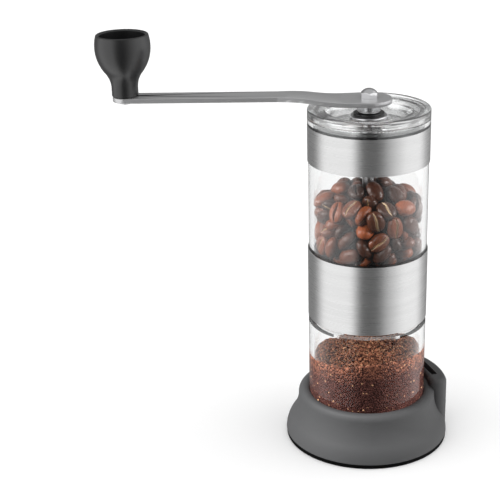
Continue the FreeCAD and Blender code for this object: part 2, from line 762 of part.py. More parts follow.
carrier_shell = turned(
    "carrier_shell",
    [
        (tube_r, tube_z),
        (tube_r, funnel_under(tube_r)),
        (wall_in_r, funnel_under(wall_in_r)),
        (wall_in_r, ledge_top_z),
        (carrier_r, ledge_top_z),
        (carrier_r, carrier_top_z),
        (funnel_r, carrier_top_z),
        (d.throat_r, throat_z),
        (d.throat_r, seat_z),
        (tube_in_r, seat_z),
        (tube_in_r, tube_z),
    ],
)
carrier_parts = [carrier_shell, cylinder("carrier_hub", d.hub_r, hub_z, hub_top_z)]
spoke_end_r = d.throat_r + (hub_z - throat_z) / funnel_slope + d.funnel_t / funnel_slope / 2
bush_r = d.shaft_r + d.journal_gap + d.bush_wall
boss_r = d.screw_r + d.screw_gap + d.boss_wall
for index, turn in enumerate(SCREW_TURNS):
    angle = as_size(turn)
    boss = cylinder(f"carrier_boss_{index}", boss_r, ledge_top_z, ledge_top_z + d.boss_h)
    place(boss, screw_at * cosine(angle), screw_at * sine(angle), ledge_top_z)
    spoke_angle = as_size(turn + FULL_TURN / 6)
    spoke = block(
        f"carrier_spoke_{index}",
        (bush_r, spoke_end_r),
        (-d.spoke_w / 2, d.spoke_w / 2),
        (hub_z, hub_z + d.spoke_h),
    )
    spoke_x = bush_r * cosine(spoke_angle) + d.spoke_w / 2 * sine(spoke_angle)
    spoke_y = bush_r * sine(spoke_angle) - d.spoke_w / 2 * cosine(spoke_angle)
    place(spoke, spoke_x, spoke_y, hub_z, spoke_angle)
    carrier_parts += [boss, spoke]
carrier_bores = [cylinder("carrier_bore", bush_r + d.seat_gap, hub_z - d.run_gap, hub_top_z + d.run_gap)]
carrier_bores += [
    screw_shape(f"carrier_hole_{index}", d.screw_gap, d.screw_l + d.screw_head_h, turn)
    for index, turn in enumerate(SCREW_TURNS)
]
node("burr_carrier", cut("carrier_finished", joined("carrier_whole", carrier_parts), carrier_bores))

# Three countersunk screws with slotted heads
screws = []
for index, turn in enumerate(SCREW_TURNS):
    angle = as_size(turn)
    driver_slot = block(
        f"screw_slot_{index}",
        (-d.screw_head_r, d.screw_head_r),
        (-d.screw_slot / 2, d.screw_slot / 2),
        (ledge_z - d.run_gap, ledge_z + d.screw_slot),
    )
    slot_x = screw_at * cosine(angle) - d.screw_head_r
    slot_y = screw_at * sine(angle) - d.screw_slot / 2
    place(driver_slot, slot_x, slot_y, ledge_z - d.run_gap)
    screw_blank = screw_shape(f"screw_blank_{index}", ZERO, d.screw_l, turn)
    screws.append(cut(f"screw_{index}", screw_blank, [driver_slot]))
screw_set = doc.addObject("Part::Compound", "screw_set")
screw_set.Links = screws
node("carrier_screws", screw_set)

# Shaft bush
node("shaft_bush", turned(
    "shaft_bush",
    [
        (d.shaft_r + d.journal_gap, hub_z),
        (bush_r, hub_z),
        (bush_r, hub_top_z),
        (d.bush_flange_r, hub_top_z),
        (d.bush_flange_r, bush_top_z),
        (d.shaft_r + d.journal_gap, bush_top_z),
    ],
))

# Outer burr
outer_burr = turned(
    "outer_burr",
    [
        (d.burr_mouth_r, burr_z),
        (d.burr_r, burr_z),
        (d.burr_r, seat_z),
        (d.throat_r, seat_z),
        (d.burr_waist_r, burr_z + d.burr_edge_h),
    ],
)
slots_round(outer_burr, "outer_teeth", d.cone_bore_r, d.burr_slot_r, d.burr_slot_w / 2, d.burr_slots)
node("outer_burr", outer_burr)

# Cone burr
inner_burr = turned(
    "inner_burr",
    [
        (d.cone_bore_r, cone_z),
        (d.cone_r, cone_z),
        (d.cone_top_r, cone_top_z),
        (d.cone_bore_r, cone_top_z),
    ],
)
cone_teeth = d.cone_slots * d.cone_flutes
slots_round(inner_burr, "cone_teeth", d.cone_slot_r, d.burr_r, d.cone_slot_w / 2, cone_teeth)
slots_round(inner_burr, "cone_flutes", d.cone_flute_r, d.burr_r, d.cone_flute_w / 2, d.cone_flutes)
node("inner_burr", inner_burr)

# Keyed core of the cone burr, with the click plate below it
driver_blank = turned(
    "driver_blank",
    [
        (ZERO, plate_z),
        (d.plate_r, plate_z),
        (d.plate_r, cone_z),
        (d.cone_bore_r - d.seat_gap, cone_z),
        (d.cone_bore_r - d.seat_gap, cone_top_z),
        (ZERO, cone_top_z),
    ],
)
key_r = d.shaft_r + d.journal_gap
key_flat = d.shaft_flat + d.journal_gap
key_low = plate_z - d.run_gap
key_high = cone_top_z + d.run_gap
key_bore = common(
    "key_bore",
    cylinder("key_round", key_r, key_low, key_high),
    block("key_flats", (-key_r, key_r), (-key_flat, key_flat), (key_low, key_high)),
)
node("burr_driver", cut("driver_finished", driver_blank, [key_bore]))

# Shaft: threaded end, flats for the cone burr, clip groove and hexagon
shaft_end_r = d.shaft_flat - d.run_gap
flat_z = cone_z - d.run_gap
groove_r = d.shaft_r - d.groove_depth
shaft_end_z = star_z - d.shaft_end_l
hex_z = spindle_z - d.socket_end
hex_top_z = lid_hub_z - d.socket_end
shaft_blank = turned(
    "shaft_blank",
    [
        (ZERO, shaft_end_z),
        (shaft_end_r, shaft_end_z),
        (shaft_end_r, flat_z + d.adjust_travel),
        (d.shaft_r, flat_z + d.adjust_travel),
        (d.shaft_r, bush_top_z),
        (groove_r, bush_top_z),
        (groove_r, bush_top_z + d.clip_t + d.run_gap),
        (d.shaft_r, bush_top_z + d.clip_t + d.run_gap),
        (d.shaft_r, hex_z),
        (ZERO, hex_z),
    ],
)
flats = [
    block(
        f"shaft_flat_{index}",
        (-key_r, key_r),
        limits,
        (flat_z + d.adjust_travel, flat_z + d.flat_l),
    )
    for index, limits in enumerate(((d.shaft_flat, key_r), (-key_r, -d.shaft_flat)))
]
shaft_top = prism("shaft_hexagon", d.hex_r, hex_z, hex_top_z)
node("burr_shaft", joined("shaft_finished", [cut("shaft_flatted", shaft_blank, flats), shaft_top]))


def clip(name, inner, outer, low):
    """An open clip in a groove."""
    whole = ring(f"{name}_ring", inner, outer, low, low + d.clip_t)
    gap = block(
        f"{name}_gap",
        (ZERO, outer),
        (-d.clip_slot / 2, d.clip_slot / 2),
        (low - d.run_gap, low + d.clip_t + d.run_gap),
    )
    return node(name, cut(f"{name}_open", whole, [gap]))


clip("shaft_clip", groove_r + d.journal_gap, d.clip_r, bush_top_z)

# Thrust washer and spring
node("thrust_washer", ring("thrust_washer", d.shaft_r + d.run_gap, d.washer_r, washer_z, washer_top_z))
spring_low_z = cone_top_z + d.spring_wire_r + d.run_gap
spring_high_z = washer_z - d.spring_wire_r - d.run_gap
spring_pitch = (spring_high_z - spring_low_z) / d.spring_turns
spring = doc.addObject("Part::Feature", "spring_wire")
spring.Shape = coil(
    d.spring_r.value, d.spring_wire_r.value, spring_pitch.value, d.spring_turns.value, spring_low_z.value)
node("burr_spring", spring)
spring_lean = math.atan2(spring_pitch.value, 2 * math.pi * d.spring_r.value)
spring_gap = spring_pitch.value * math.cos(spring_lean) - 2 * d.spring_wire_r.value
print(f"least gap between the spring's turns: {spring_gap:.2f} mm")

# Star nut that sets the grind
star = turned(
    "adjusting_nut",
    [
        (shaft_end_r + d.journal_gap, star_z),
        (d.star_r, star_z),
        (d.star_r, star_z + d.star_h),
        (d.star_neck_r, star_z + d.star_h),
        (d.star_neck_r, star_top_z),
        (shaft_end_r + d.journal_gap, star_top_z),
    ],
)
notch_sketch = body_sketch(star, "star_notch_outline", "XY_Plane")
circle_outline(notch_sketch, d.star_r + d.star_notch_r / 2, d.star_notch_r)
star_notch = star.newObject("PartDesign::Pocket", "star_notch")
star_notch.Profile = notch_sketch
star_notch.Type = "ThroughAll"
star_notch.Midplane = True
star_notches = star.newObject("PartDesign::PolarPattern", "star_notches")
star_notches.Originals = [star_notch]
star_notches.Axis = (notch_sketch, ["N_Axis"])
star_notches.Angle = FULL_TURN
bind(star_notches, Occurrences=d.star_notches)
star.Tip = star_notches
node("adjusting_nut", star)

# Lid: raised rim, stepped ring, dish, hub and plug
plug_r = hopper_in_r - d.plug_gap
lid_bush_out_r = d.spindle_r + d.journal_gap + d.lid_bush_wall
lid_bore_r = lid_bush_out_r + d.seat_gap
lid_hub_r = lid_bore_r + d.lid_hub_wall
rim_in_r = d.rim_r - d.lid_rim_w
ring_z = lid_top_z - d.lid_step
node("lid", turned(
    "lid",
    [
        (plug_r - d.lid_wall, hopper_top_z - d.plug_l),
        (plug_r, hopper_top_z - d.plug_l),
        (plug_r, hopper_top_z),
        (d.rim_r, hopper_top_z),
        (d.rim_r, lid_top_z - d.lid_edge),
        (d.rim_r - d.lid_edge, lid_top_z),
        (rim_in_r, lid_top_z),
        (rim_in_r - d.lid_step, ring_z),
        (d.dish_top_r, ring_z),
        (d.dish_r, dish_z),
        (lid_bore_r, dish_z),
        (lid_bore_r, lid_hub_z),
        (lid_hub_r, lid_hub_z),
        (lid_hub_r, dish_z - d.lid_wall),
        (d.dish_r, dish_z - d.lid_wall),
        (d.dish_top_r, ring_z - d.lid_wall),
        (plug_r - d.lid_wall, ring_z - d.lid_wall),
    ],
    {4: (d.lid_edge, 1), 6: (d.lid_step, -1)},
))

# Bright ferrule and black bush in the lid
node("lid_ferrule", turned(
    "lid_ferrule",
    [
        (lid_bore_r, dish_z),
        (d.ferrule_r, dish_z),
        (d.ferrule_r, ferrule_top_z - d.ferrule_edge),
        (d.ferrule_r - d.ferrule_edge, ferrule_top_z),
        (lid_bore_r, ferrule_top_z),
    ],
    {2: (d.ferrule_edge, 1)},
))
spindle_bore_r = d.spindle_r + d.journal_gap
node("lid_bush", turned(
    "lid_bush",
    [
        (spindle_bore_r, lid_hub_z),
        (lid_bush_out_r, lid_hub_z),
        (lid_bush_out_r, ferrule_top_z),
        (d.lid_bush_r, ferrule_top_z),
        (d.lid_bush_r, lid_bush_top_z),
        (spindle_bore_r, lid_bush_top_z),
    ],
))

# Spindle: socket for the shaft, collar, square for the arm and threaded stud
spindle_groove_r = d.spindle_r - d.groove_depth
clip_top_z = lid_hub_z - d.run_gap
spindle_blank = turned(
    "spindle_blank",
    [
        (ZERO, spindle_z),
        (d.spindle_r, spindle_z),
        (d.spindle_r, clip_top_z - d.clip_t - d.run_gap),
        (spindle_groove_r, clip_top_z - d.clip_t - d.run_gap),
        (spindle_groove_r, clip_top_z),
        (d.spindle_r, clip_top_z),
        (d.spindle_r, collar_z),
        (d.spindle_collar_r - d.spindle_edge, collar_z),
        (d.spindle_collar_r, collar_z + d.spindle_edge),
        (d.spindle_collar_r, arm_z - d.spindle_edge),
        (d.spindle_collar_r - d.spindle_edge, arm_z),
        (d.stud_r, arm_z),
        (d.stud_r, arm_top_z + d.stud_l),
        (ZERO, arm_top_z + d.stud_l),
    ],
)
square = block(
    "spindle_square",
    (-d.square_w / 2, d.square_w / 2),
    (-d.square_w / 2, d.square_w / 2),
    (arm_z - d.spindle_edge, arm_top_z - d.square_short),
)
hex_socket = prism("spindle_socket", d.hex_r + d.hex_gap, spindle_z - d.run_gap, lid_hub_z)
spindle_whole = joined("spindle_whole", [spindle_blank, square])
node("drive_spindle", cut("spindle_finished", spindle_whole, [hex_socket]))
clip("spindle_clip", spindle_groove_r + d.journal_gap, d.spindle_clip_r, clip_top_z - d.clip_t)

# Crank arm: a bent strip, trimmed to its plan outline
half_rise = d.arm_rise / 2
half_run = d.bend_l / 2
bend_lean = half_rise / half_run
bend_share = 1 + bend_lean * bend_lean
bend_sine = 2 * bend_lean / bend_share
bend_cosine = (1 - bend_lean * bend_lean) / bend_share
bend_r = half_run / bend_sine
half_t = d.arm_t / 2
bend_x = -(d.bend_start + half_run)
bend_end_x = -(d.bend_start + d.bend_l)
middle_z = arm_z + half_t + half_rise
strip_end = -(d.arm_reach + d.arm_half_w)
strip_side = flat_outline(
    "arm_side",
    [
        (d.arm_hub_r, arm_z),
        (d.arm_hub_r, arm_top_z),
        (-d.bend_start, arm_top_z),
        (bend_x + half_t * bend_sine, middle_z + half_t * bend_cosine),
        (bend_end_x, arm_end_top_z),
        (strip_end, arm_end_top_z),
        (strip_end, arm_end_z),
        (bend_end_x, arm_end_z),
        (bend_x - half_t * bend_sine, middle_z - half_t * bend_cosine),
        (-d.bend_start, arm_z),
    ],
    {2: (bend_r - half_t, -1), 3: (bend_r + half_t, 1), 7: (bend_r - half_t, -1), 8: (bend_r + half_t, 1)},
    True,
)
taper_square = d.arm_taper_l * d.arm_taper_l + d.arm_half_w * d.arm_half_w
taper_root = root(taper_square - d.arm_hub_r * d.arm_hub_r)
taper_sine = (d.arm_taper_l * d.arm_hub_r - d.arm_half_w * taper_root) / taper_square
taper_cosine = (d.arm_half_w * d.arm_hub_r + d.arm_taper_l * taper_root) / taper_square
touch_x = -(d.arm_hub_r * taper_sine)
touch_y = d.arm_hub_r * taper_cosine
arm_plan = flat_outline(
    "arm_plan",
    [
        (touch_x, touch_y),
        (-d.arm_taper_l, d.arm_half_w),
        (-d.arm_reach, d.arm_half_w),
        (strip_end, ZERO),
        (-d.arm_reach, -d.arm_half_w),
        (-d.arm_taper_l, -d.arm_half_w),
        (touch_x, -touch_y),
        (d.arm_hub_r, ZERO),
    ],
    {2: (d.arm_half_w, 1), 3: (d.arm_half_w, 1), 6: (d.arm_hub_r, 1), 7: (d.arm_hub_r, 1)},
    False,
)
arm_strip = extruded("arm_strip", strip_side, FreeCAD.Vector(0, 1, 0), d.arm_hub_r * 3, True)
arm_column = extruded("arm_column", arm_plan, FreeCAD.Vector(0, 0, 1), arm_end_top_z + d.arm_t, False)
square_hole_w = d.square_w + d.run_gap
square_hole = block(
    "arm_square_hole",
    (-square_hole_w / 2, square_hole_w / 2),
    (-square_hole_w / 2, square_hole_w / 2),
    (arm_z - d.arm_t, arm_top_z + d.arm_t),
)
pin_end_r = d.stud_r
pin_hole = cylinder(
    "arm_pin_hole", pin_end_r + d.seat_gap, arm_end_z - d.arm_t, arm_end_top_z + d.arm_t, -d.arm_reach)
node("crank_arm", cut("arm_finished", common("arm_blank", arm_strip, arm_column), [square_hole, pin_hole]))

# Cap nut
nut_corner_r = d.nut_flats / as_size(math.sqrt(3))
nut_top_z = arm_top_z + d.nut_h
nut_dome_h = d.nut_h - d.nut_hex_h
nut_round = (d.nut_dome_r * d.nut_dome_r + nut_dome_h * nut_dome_h) / (2 * nut_dome_h)
nut_blank = turned(
    "nut_blank",
    [
        (ZERO, arm_top_z),
        (nut_corner_r, arm_top_z),
        (nut_corner_r, arm_top_z + d.nut_hex_h - (nut_corner_r - d.nut_dome_r) / 2),
        (d.nut_dome_r, arm_top_z + d.nut_hex_h),
        (ZERO, nut_top_z),
    ],
    {3: (nut_round, 1)},
)
nut_hexagon = prism("nut_hexagon", nut_corner_r, arm_top_z, nut_top_z)
nut_hexagon.Placement.Rotation = FreeCAD.Rotation(FreeCAD.Vector(0, 0, 1), FULL_TURN / 12)
nut_bore = cylinder("nut_bore", d.stud_r + d.seat_gap, arm_top_z - d.run_gap, arm_top_z + d.nut_bore_h)
node("cap_nut", cut("nut_finished", common("nut_hex", nut_blank, nut_hexagon), [nut_bore]))


def at_knob(name, thing):
    """Puts a piece on the knob's axis."""
    return node(name, place(thing, x=-d.arm_reach))


# Knob washer, knob stud and knob
at_knob("knob_washer", ring(
    "knob_washer",
    d.knob_pin_r + d.run_gap,
    d.knob_washer_r,
    arm_end_top_z,
    arm_end_top_z + d.knob_washer_t,
))
knob_floor_z = knob_z + d.knob_floor_h
head_z = knob_floor_z + d.run_gap
rivet_z = arm_end_z - d.rivet_h
stud_blank = turned(
    "stud_blank",
    [
        (ZERO, rivet_z),
        (d.rivet_r, rivet_z),
        (d.rivet_r, arm_end_z),
        (pin_end_r, arm_end_z),
        (pin_end_r, arm_end_top_z),
        (d.knob_pin_r, arm_end_top_z),
        (d.knob_pin_r, head_z),
        (d.knob_head_r, head_z),
        (d.knob_head_r, head_z + d.knob_head_h),
        (ZERO, head_z + d.knob_head_h),
    ],
)
head_slot = block(
    "stud_slot",
    (-d.knob_head_r, d.knob_head_r),
    (-d.knob_head_slot / 2, d.knob_head_slot / 2),
    (head_z + d.knob_head_h - d.knob_head_slot, head_z + d.knob_head_h + d.run_gap),
)
at_knob("knob_stud", cut("stud_finished", stud_blank, [head_slot]))

belly_z = knob_z + d.knob_belly_h
stem_top_z = knob_z + d.knob_stem_h
belly_middle_r = d.knob_belly_r - d.knob_belly_round
flare_rise = belly_z - stem_top_z
flare_out = d.knob_stem_r - belly_middle_r
flare_r = (flare_out * flare_out + flare_rise * flare_rise - d.knob_belly_round * d.knob_belly_round) / (
    2 * (d.knob_belly_round - flare_out))
flare_share = d.knob_belly_round / (d.knob_belly_round + flare_r)
flare_join_r = belly_middle_r + (d.knob_stem_r + flare_r - belly_middle_r) * flare_share
flare_join_z = belly_z - flare_rise * flare_share
lip_z = knob_z + d.knob_h - d.knob_lip
lip_rise = lip_z - belly_z
lip_r = belly_middle_r + root(d.knob_belly_round * d.knob_belly_round - lip_rise * lip_rise)
pin_bore_r = d.knob_pin_r + d.journal_gap
at_knob("crank_knob", turned(
    "crank_knob",
    [
        (pin_bore_r, knob_z),
        (d.knob_stem_r, knob_z),
        (d.knob_stem_r, stem_top_z),
        (flare_join_r, flare_join_z),
        (lip_r, lip_z),
        (lip_r - d.knob_lip, knob_z + d.knob_h),
        (d.knob_mouth_r, lip_z),
        (d.knob_mouth_r, knob_z + d.knob_h - d.knob_mouth_h),
        (d.knob_floor_r, knob_floor_z),
        (pin_bore_r, knob_floor_z),
    ],
    {2: (flare_r, -1), 3: (d.knob_belly_round, 1), 4: (d.knob_lip, 1)},
))

doc.recompute()
failed = [thing.Label for thing in doc.Objects if "Invalid" in thing.State or "Error" in thing.State]
if failed:
    raise RuntimeError(f"failed objects: {failed}")
for name, thing in node_objects.items():
    if thing.Shape.isNull() or not thing.Shape.isValid():
        raise RuntimeError(f"bad shape: {name}")

os.makedirs("parts", exist_ok=True)
for name, thing in node_objects.items():
    thing.Shape.exportStep(f"parts/{name}.step")
    print(f"{name}: {len(thing.Shape.Solids)} solid(s), {thing.Shape.Volume:.1f} mm3")
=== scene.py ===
import math

import bpy
import numpy as np
from bpy.props import FloatProperty, FloatVectorProperty, IntProperty, PointerProperty
from mathutils import Matrix, Vector, noise


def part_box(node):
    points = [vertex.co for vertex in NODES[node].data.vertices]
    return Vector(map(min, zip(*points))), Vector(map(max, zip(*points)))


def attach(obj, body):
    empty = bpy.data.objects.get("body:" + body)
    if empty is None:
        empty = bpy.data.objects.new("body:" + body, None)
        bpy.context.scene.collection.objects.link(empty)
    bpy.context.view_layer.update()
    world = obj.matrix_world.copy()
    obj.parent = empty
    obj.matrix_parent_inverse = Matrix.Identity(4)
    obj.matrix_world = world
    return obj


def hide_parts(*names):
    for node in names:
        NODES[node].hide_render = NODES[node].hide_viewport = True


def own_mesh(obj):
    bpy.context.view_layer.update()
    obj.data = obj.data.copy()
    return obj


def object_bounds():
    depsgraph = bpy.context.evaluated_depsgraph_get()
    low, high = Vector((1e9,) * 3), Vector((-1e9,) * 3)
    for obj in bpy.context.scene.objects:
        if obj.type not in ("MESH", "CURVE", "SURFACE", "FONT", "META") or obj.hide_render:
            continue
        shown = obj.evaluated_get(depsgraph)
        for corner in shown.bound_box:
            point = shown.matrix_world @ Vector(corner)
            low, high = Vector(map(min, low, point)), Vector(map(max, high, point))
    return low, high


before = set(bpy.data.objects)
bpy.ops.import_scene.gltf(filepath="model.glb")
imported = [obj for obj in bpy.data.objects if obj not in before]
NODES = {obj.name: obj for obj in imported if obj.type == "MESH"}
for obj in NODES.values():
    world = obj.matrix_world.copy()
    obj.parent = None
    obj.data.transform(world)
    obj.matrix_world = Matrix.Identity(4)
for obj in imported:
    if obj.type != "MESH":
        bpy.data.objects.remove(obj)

bl_info = {
    "name": "Hand Crank Coffee Grinder",
    "version": (1, 0, 0),
    "blender": (4, 5, 0),
    "location": "View3D > Sidebar > Grinder",
    "description": "Finishes, beans, ground coffee and a studio for the coffee grinder's solids",
    "category": "Object",
}

CAD_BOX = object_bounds()
MILLIMETRE = 0.001


def top_of(node):
    """Height of a solid's highest point."""
    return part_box(node)[1].z


def reach_of(node):
    """Radius of a round solid that stands on the mill's axis."""
    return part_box(node)[1].x


def color_property(name, description, default):
    """A colour that a user may change."""
    return FloatVectorProperty(
        name=name, description=description, subtype="COLOR", size=3, min=0.0, max=1.0, default=default)


def length_property(name, description, default):
    """A length in metres that a user may change."""
    return FloatProperty(name=name, description=description, unit="LENGTH", default=default)


def place_property(name, description, default):
    """A place in the shared frame that a user may change."""
    return FloatVectorProperty(
        name=name, description=description, subtype="TRANSLATION", unit="LENGTH", default=default)


def angle_property(name, description, degrees):
    """An angle, given in degrees, that a user may change."""
    return FloatProperty(name=name, description=description, subtype="ANGLE", default=math.radians(degrees))


def power_property(name, description, default):
    """A lamp's power in watts that a user may change."""
    return FloatProperty(name=name, description=description, subtype="POWER", unit="POWER", default=default)


def number_property(name, description, default):
    """A plain number that a user may change."""
    return FloatProperty(name=name, description=description, default=default)


# Values that a user would change


class GrinderFinish(bpy.types.PropertyGroup):
    """Colours and edges of the grinder's own pieces."""

    silicone: color_property("Silicone", "Colour of the soft base", (0.055, 0.0555, 0.057))
    # The foot pad's near-black is partly painted shadow: it also draws the contact shadow under the skirt.
    foot: color_property("Foot", "Colour of the foot pad", (0.002, 0.002, 0.002))
    steel: color_property("Steel", "Colour of the brushed bands", (0.46, 0.46, 0.46))
    arm: color_property("Arm", "Colour of the brushed crank arm", (0.44, 0.44, 0.445))
    chrome: color_property("Bright steel", "Colour of the polished fittings", (0.62, 0.62, 0.63))
    black: color_property(
        "Black plastic", "Colour of the knob and the mill's inner frame", (0.009, 0.009, 0.0095))
    acrylic: color_property("Acrylic", "Tint of the clear plastic", (0.985, 0.99, 0.99))
    ceramic: color_property("Ceramic", "Colour of the burrs", (0.72, 0.69, 0.63))
    seal: color_property("Seal", "Colour of the gasket", (0.55, 0.55, 0.53))
    acrylic_index: number_property("Acrylic index", "Refractive index of the clear plastic", 1.49)
    edge_round: length_property("Edge round", "Round of the metal edges", 0.25 * MILLIMETRE)


class GrinderBeans(bpy.types.PropertyGroup):
    """The roasted beans in the hopper."""

    count: IntProperty(name="Count", description="Beans in the hopper", default=165)
    seed: IntProperty(name="Seed", description="Start of the beans' arrangement", default=7)
    steps: IntProperty(name="Steps", description="Rounds of pushing the beans apart", default=150)
    length: length_property("Length", "Length of a bean", 11.4 * MILLIMETRE)
    width: length_property("Width", "Width of a bean", 8.8 * MILLIMETRE)
    depth: length_property("Depth", "Thickness of a bean", 6.2 * MILLIMETRE)
    hopper_r: length_property("Hopper radius", "Inside radius of the hopper", 27.1 * MILLIMETRE)
    funnel_top_r: length_property("Funnel top radius", "Radius of the funnel's rim", 25.7 * MILLIMETRE)
    funnel_top_z: length_property("Funnel top", "Height of the funnel's rim", 103.5 * MILLIMETRE)
    throat_r: length_property("Throat radius", "Radius of the funnel's throat", 12.0 * MILLIMETRE)
    throat_z: length_property("Throat", "Height of the funnel's throat", 93.0 * MILLIMETRE)
    hub_r: length_property("Hub radius", "Radius of the hub in the funnel", 6.5 * MILLIMETRE)
    shaft_r: length_property("Shaft radius", "Radius of the shaft", 3.0 * MILLIMETRE)
    heap_wall_z: length_property("Heap at the wall", "Height of the beans at the wall", 130.5 * MILLIMETRE)
    heap_top_z: length_property("Heap at the shaft", "Height of the beans at the shaft", 143.5 * MILLIMETRE)
    # The darkest roast's colour also paints the shade in each bean's crease.
    dark: color_property("Dark roast", "Colour of the darkest beans", (0.016, 0.0058, 0.0032))
    light: color_property("Light roast", "Colour of the lightest beans", (0.135, 0.033, 0.010))
    crease: color_property("Crease", "Colour of the pale skin in a bean's crease", (0.92, 0.68, 0.42))
    pale_share: FloatProperty(
        name="Pale creases", description="Share of the beans with pale skin in the crease",
        subtype="FACTOR", min=0.0, max=1.0, default=0.6)


class GrinderGrounds(bpy.types.PropertyGroup):
    """The ground coffee in the jar."""

    jar_r: length_property("Jar radius", "Inside radius of the jar", 27.2 * MILLIMETRE)
    floor_z: length_property("Floor", "Height of the jar's inner floor", 9.6 * MILLIMETRE)
    floor_round: length_property("Floor round", "Round of the jar's inner edge", 2.2 * MILLIMETRE)
    cling: length_property("Cling", "How far the coffee clings to the jar's wall", 0.04 * MILLIMETRE)
    peak_x: length_property("Peak across", "Place of the heap's peak along X", 10.0 * MILLIMETRE)
    peak_y: length_property("Peak along", "Place of the heap's peak along Y", 0.0)
    peak_z: length_property("Peak", "Height of the heap's peak", 53.0 * MILLIMETRE)
    side_slope: number_property("Side slope", "Fall of the heap for each metre to a side", 0.22)
    front_slope: number_property("Front slope", "Fall of the heap for each metre to the front", 0.085)
    back_slope: number_property("Back slope", "Fall of the heap for each metre to the back", 0.42)
    crown: length_property("Crown", "Height that the heap's rounded crown takes off", 1.2 * MILLIMETRE)
    grain: length_property("Grain", "Size of a loose grain", 0.95 * MILLIMETRE)
    fade: length_property("Fade", "Depth over which the pressed coffee darkens", 10.0 * MILLIMETRE)
    fines: length_property("Fines", "Size of the fine grains against the wall", 0.8 * MILLIMETRE)
    loose: IntProperty(name="Loose grains", description="Grains that lie loose on the heap", default=4200)
    seed: IntProperty(name="Seed", description="Start of the grains' arrangement", default=3)
    dark: color_property("Dark grains", "Colour of the darkest grains", (0.016, 0.0055, 0.0045))
    light: color_property("Light grains", "Colour of most light grains on the heap", (0.270, 0.105, 0.058))
    pressed: color_property(
        "Pressed grains", "Colour of most light grains against the wall", (0.050, 0.018, 0.014))
    chaff: color_property("Chaff", "Colour of the palest grains", (0.40, 0.22, 0.12))


class GrinderStudio(bpy.types.PropertyGroup):
    """Camera, floor and light."""

    camera_place: place_property("Camera", "Place of the camera", (-0.02415, -0.60129, 0.33650))
    camera_heading: angle_property("Heading", "Turn of the camera to the right of +Y", -3.347)
    camera_pitch: angle_property("Pitch", "Tilt of the camera above the horizon", -21.27)
    camera_roll: angle_property("Roll", "Clockwise roll of the camera", 1.49)
    lens: number_property("Lens", "Focal length in millimetres", 91.92)
    light: number_property("Light", "Brightness of the studio", 2.0)
    overhead: number_property("Overhead", "Brightness of the overhead light", 0.75)
    mirrored: number_property(
        "Overhead mirrored", "Brightness of the overhead light where steel mirrors it", 0.3)
    key_power: power_property("Key light", "Power of the key light", 45.0)
    key_place: place_property("Key light place", "Place of the key light", (-0.50, -0.55, 0.66))
    side_power: power_property("Side lights", "Power of each side light", 85.0)
    side_place: place_property("Side light place", "Place of the right side light", (0.83, -0.10, 0.42))
    top_power: power_property("Top light", "Power of the base's light", 9.0)
    top_place: place_property("Top light place", "Place of the base's light", (-0.50, -0.13, 0.86))
    lamp_size: length_property("Lamp size", "Side of the square lamps", 0.12)
    floor: color_property("Floor", "Colour of the floor", (0.93, 0.93, 0.93))


# Shader building blocks


SMUDGES_PER_METRE = 55.0
BROAD_SCALE = 0.12
MASK_LOW = 0.3
MASK_HIGH = 0.7


def add_node(tree, kind, values=None, **settings):
    """Adds a node, with its settings and the values of its sockets."""
    node = tree.nodes.new(kind)
    for name, value in settings.items():
        setattr(node, name, value)
    for name, value in (values or {}).items():
        node.inputs[name].default_value = value
    return node


def new_group(name, inputs, outputs):
    """An empty node group with float or vector sockets."""
    tree = bpy.data.node_groups.new(name, "ShaderNodeTree")
    for label, kind in inputs:
        tree.interface.new_socket(label, in_out="INPUT", socket_type=kind)
    for label in outputs:
        tree.interface.new_socket(label, in_out="OUTPUT", socket_type="NodeSocketFloat")
    return tree, tree.nodes.new("NodeGroupInput"), tree.nodes.new("NodeGroupOutput")


def moulded_grain():
    """Fine grain of moulded or fired surfaces, with larger soft smudges."""
    if "Moulded Grain" in bpy.data.node_groups:
        return bpy.data.node_groups["Moulded Grain"]
    tree, inward, outward = new_group(
        "Moulded Grain", [("Grains per metre", "NodeSocketFloat")], ["Height", "Smudge"])
    place = add_node(tree, "ShaderNodeTexCoord")
    grain = add_node(tree, "ShaderNodeTexNoise", {"Detail": 3.0, "Roughness": 0.6})
    smudge = add_node(
        tree, "ShaderNodeTexNoise", {"Scale": SMUDGES_PER_METRE, "Detail": 4.0, "Roughness": 0.55})
    tree.links.new(place.outputs["Object"], grain.inputs["Vector"])
    tree.links.new(inward.outputs["Grains per metre"], grain.inputs["Scale"])
    tree.links.new(place.outputs["Object"], smudge.inputs["Vector"])
    tree.links.new(grain.outputs["Fac"], outward.inputs["Height"])
    tree.links.new(smudge.outputs["Fac"], outward.inputs["Smudge"])
    return tree


def brush_lines():
    """Long fine lines of brushed metal, stretched along the small axes of a scale."""
    if "Brush Lines" in bpy.data.node_groups:
        return bpy.data.node_groups["Brush Lines"]
    tree, inward, outward = new_group(
        "Brush Lines", [("Lines per metre", "NodeSocketVector")], ["Lines", "Bands"])
    place = add_node(tree, "ShaderNodeTexCoord")
    stretch = add_node(tree, "ShaderNodeVectorMath", operation="MULTIPLY")
    fine = add_node(tree, "ShaderNodeTexNoise", {"Scale": 1.0, "Detail": 5.0, "Roughness": 0.7})
    broad = add_node(tree, "ShaderNodeTexNoise", {"Scale": BROAD_SCALE, "Detail": 2.0, "Roughness": 0.5})
    tree.links.new(place.outputs["Object"], stretch.inputs[0])
    tree.links.new(inward.outputs["Lines per metre"], stretch.inputs[1])
    tree.links.new(stretch.outputs["Vector"], fine.inputs["Vector"])
    tree.links.new(stretch.outputs["Vector"], broad.inputs["Vector"])
    tree.links.new(fine.outputs["Fac"], outward.inputs["Lines"])
    tree.links.new(broad.outputs["Fac"], outward.inputs["Bands"])
    return tree


def new_material(name):
    """A material with its node tree and its Principled shader."""
    material = bpy.data.materials.new(name)
    material.use_nodes = True
    return material, material.node_tree, material.node_tree.nodes["Principled BSDF"]


def put_group(tree, group, values=None):
    """Places a shared group in a material."""
    return add_node(tree, "ShaderNodeGroup", values, node_tree=group)


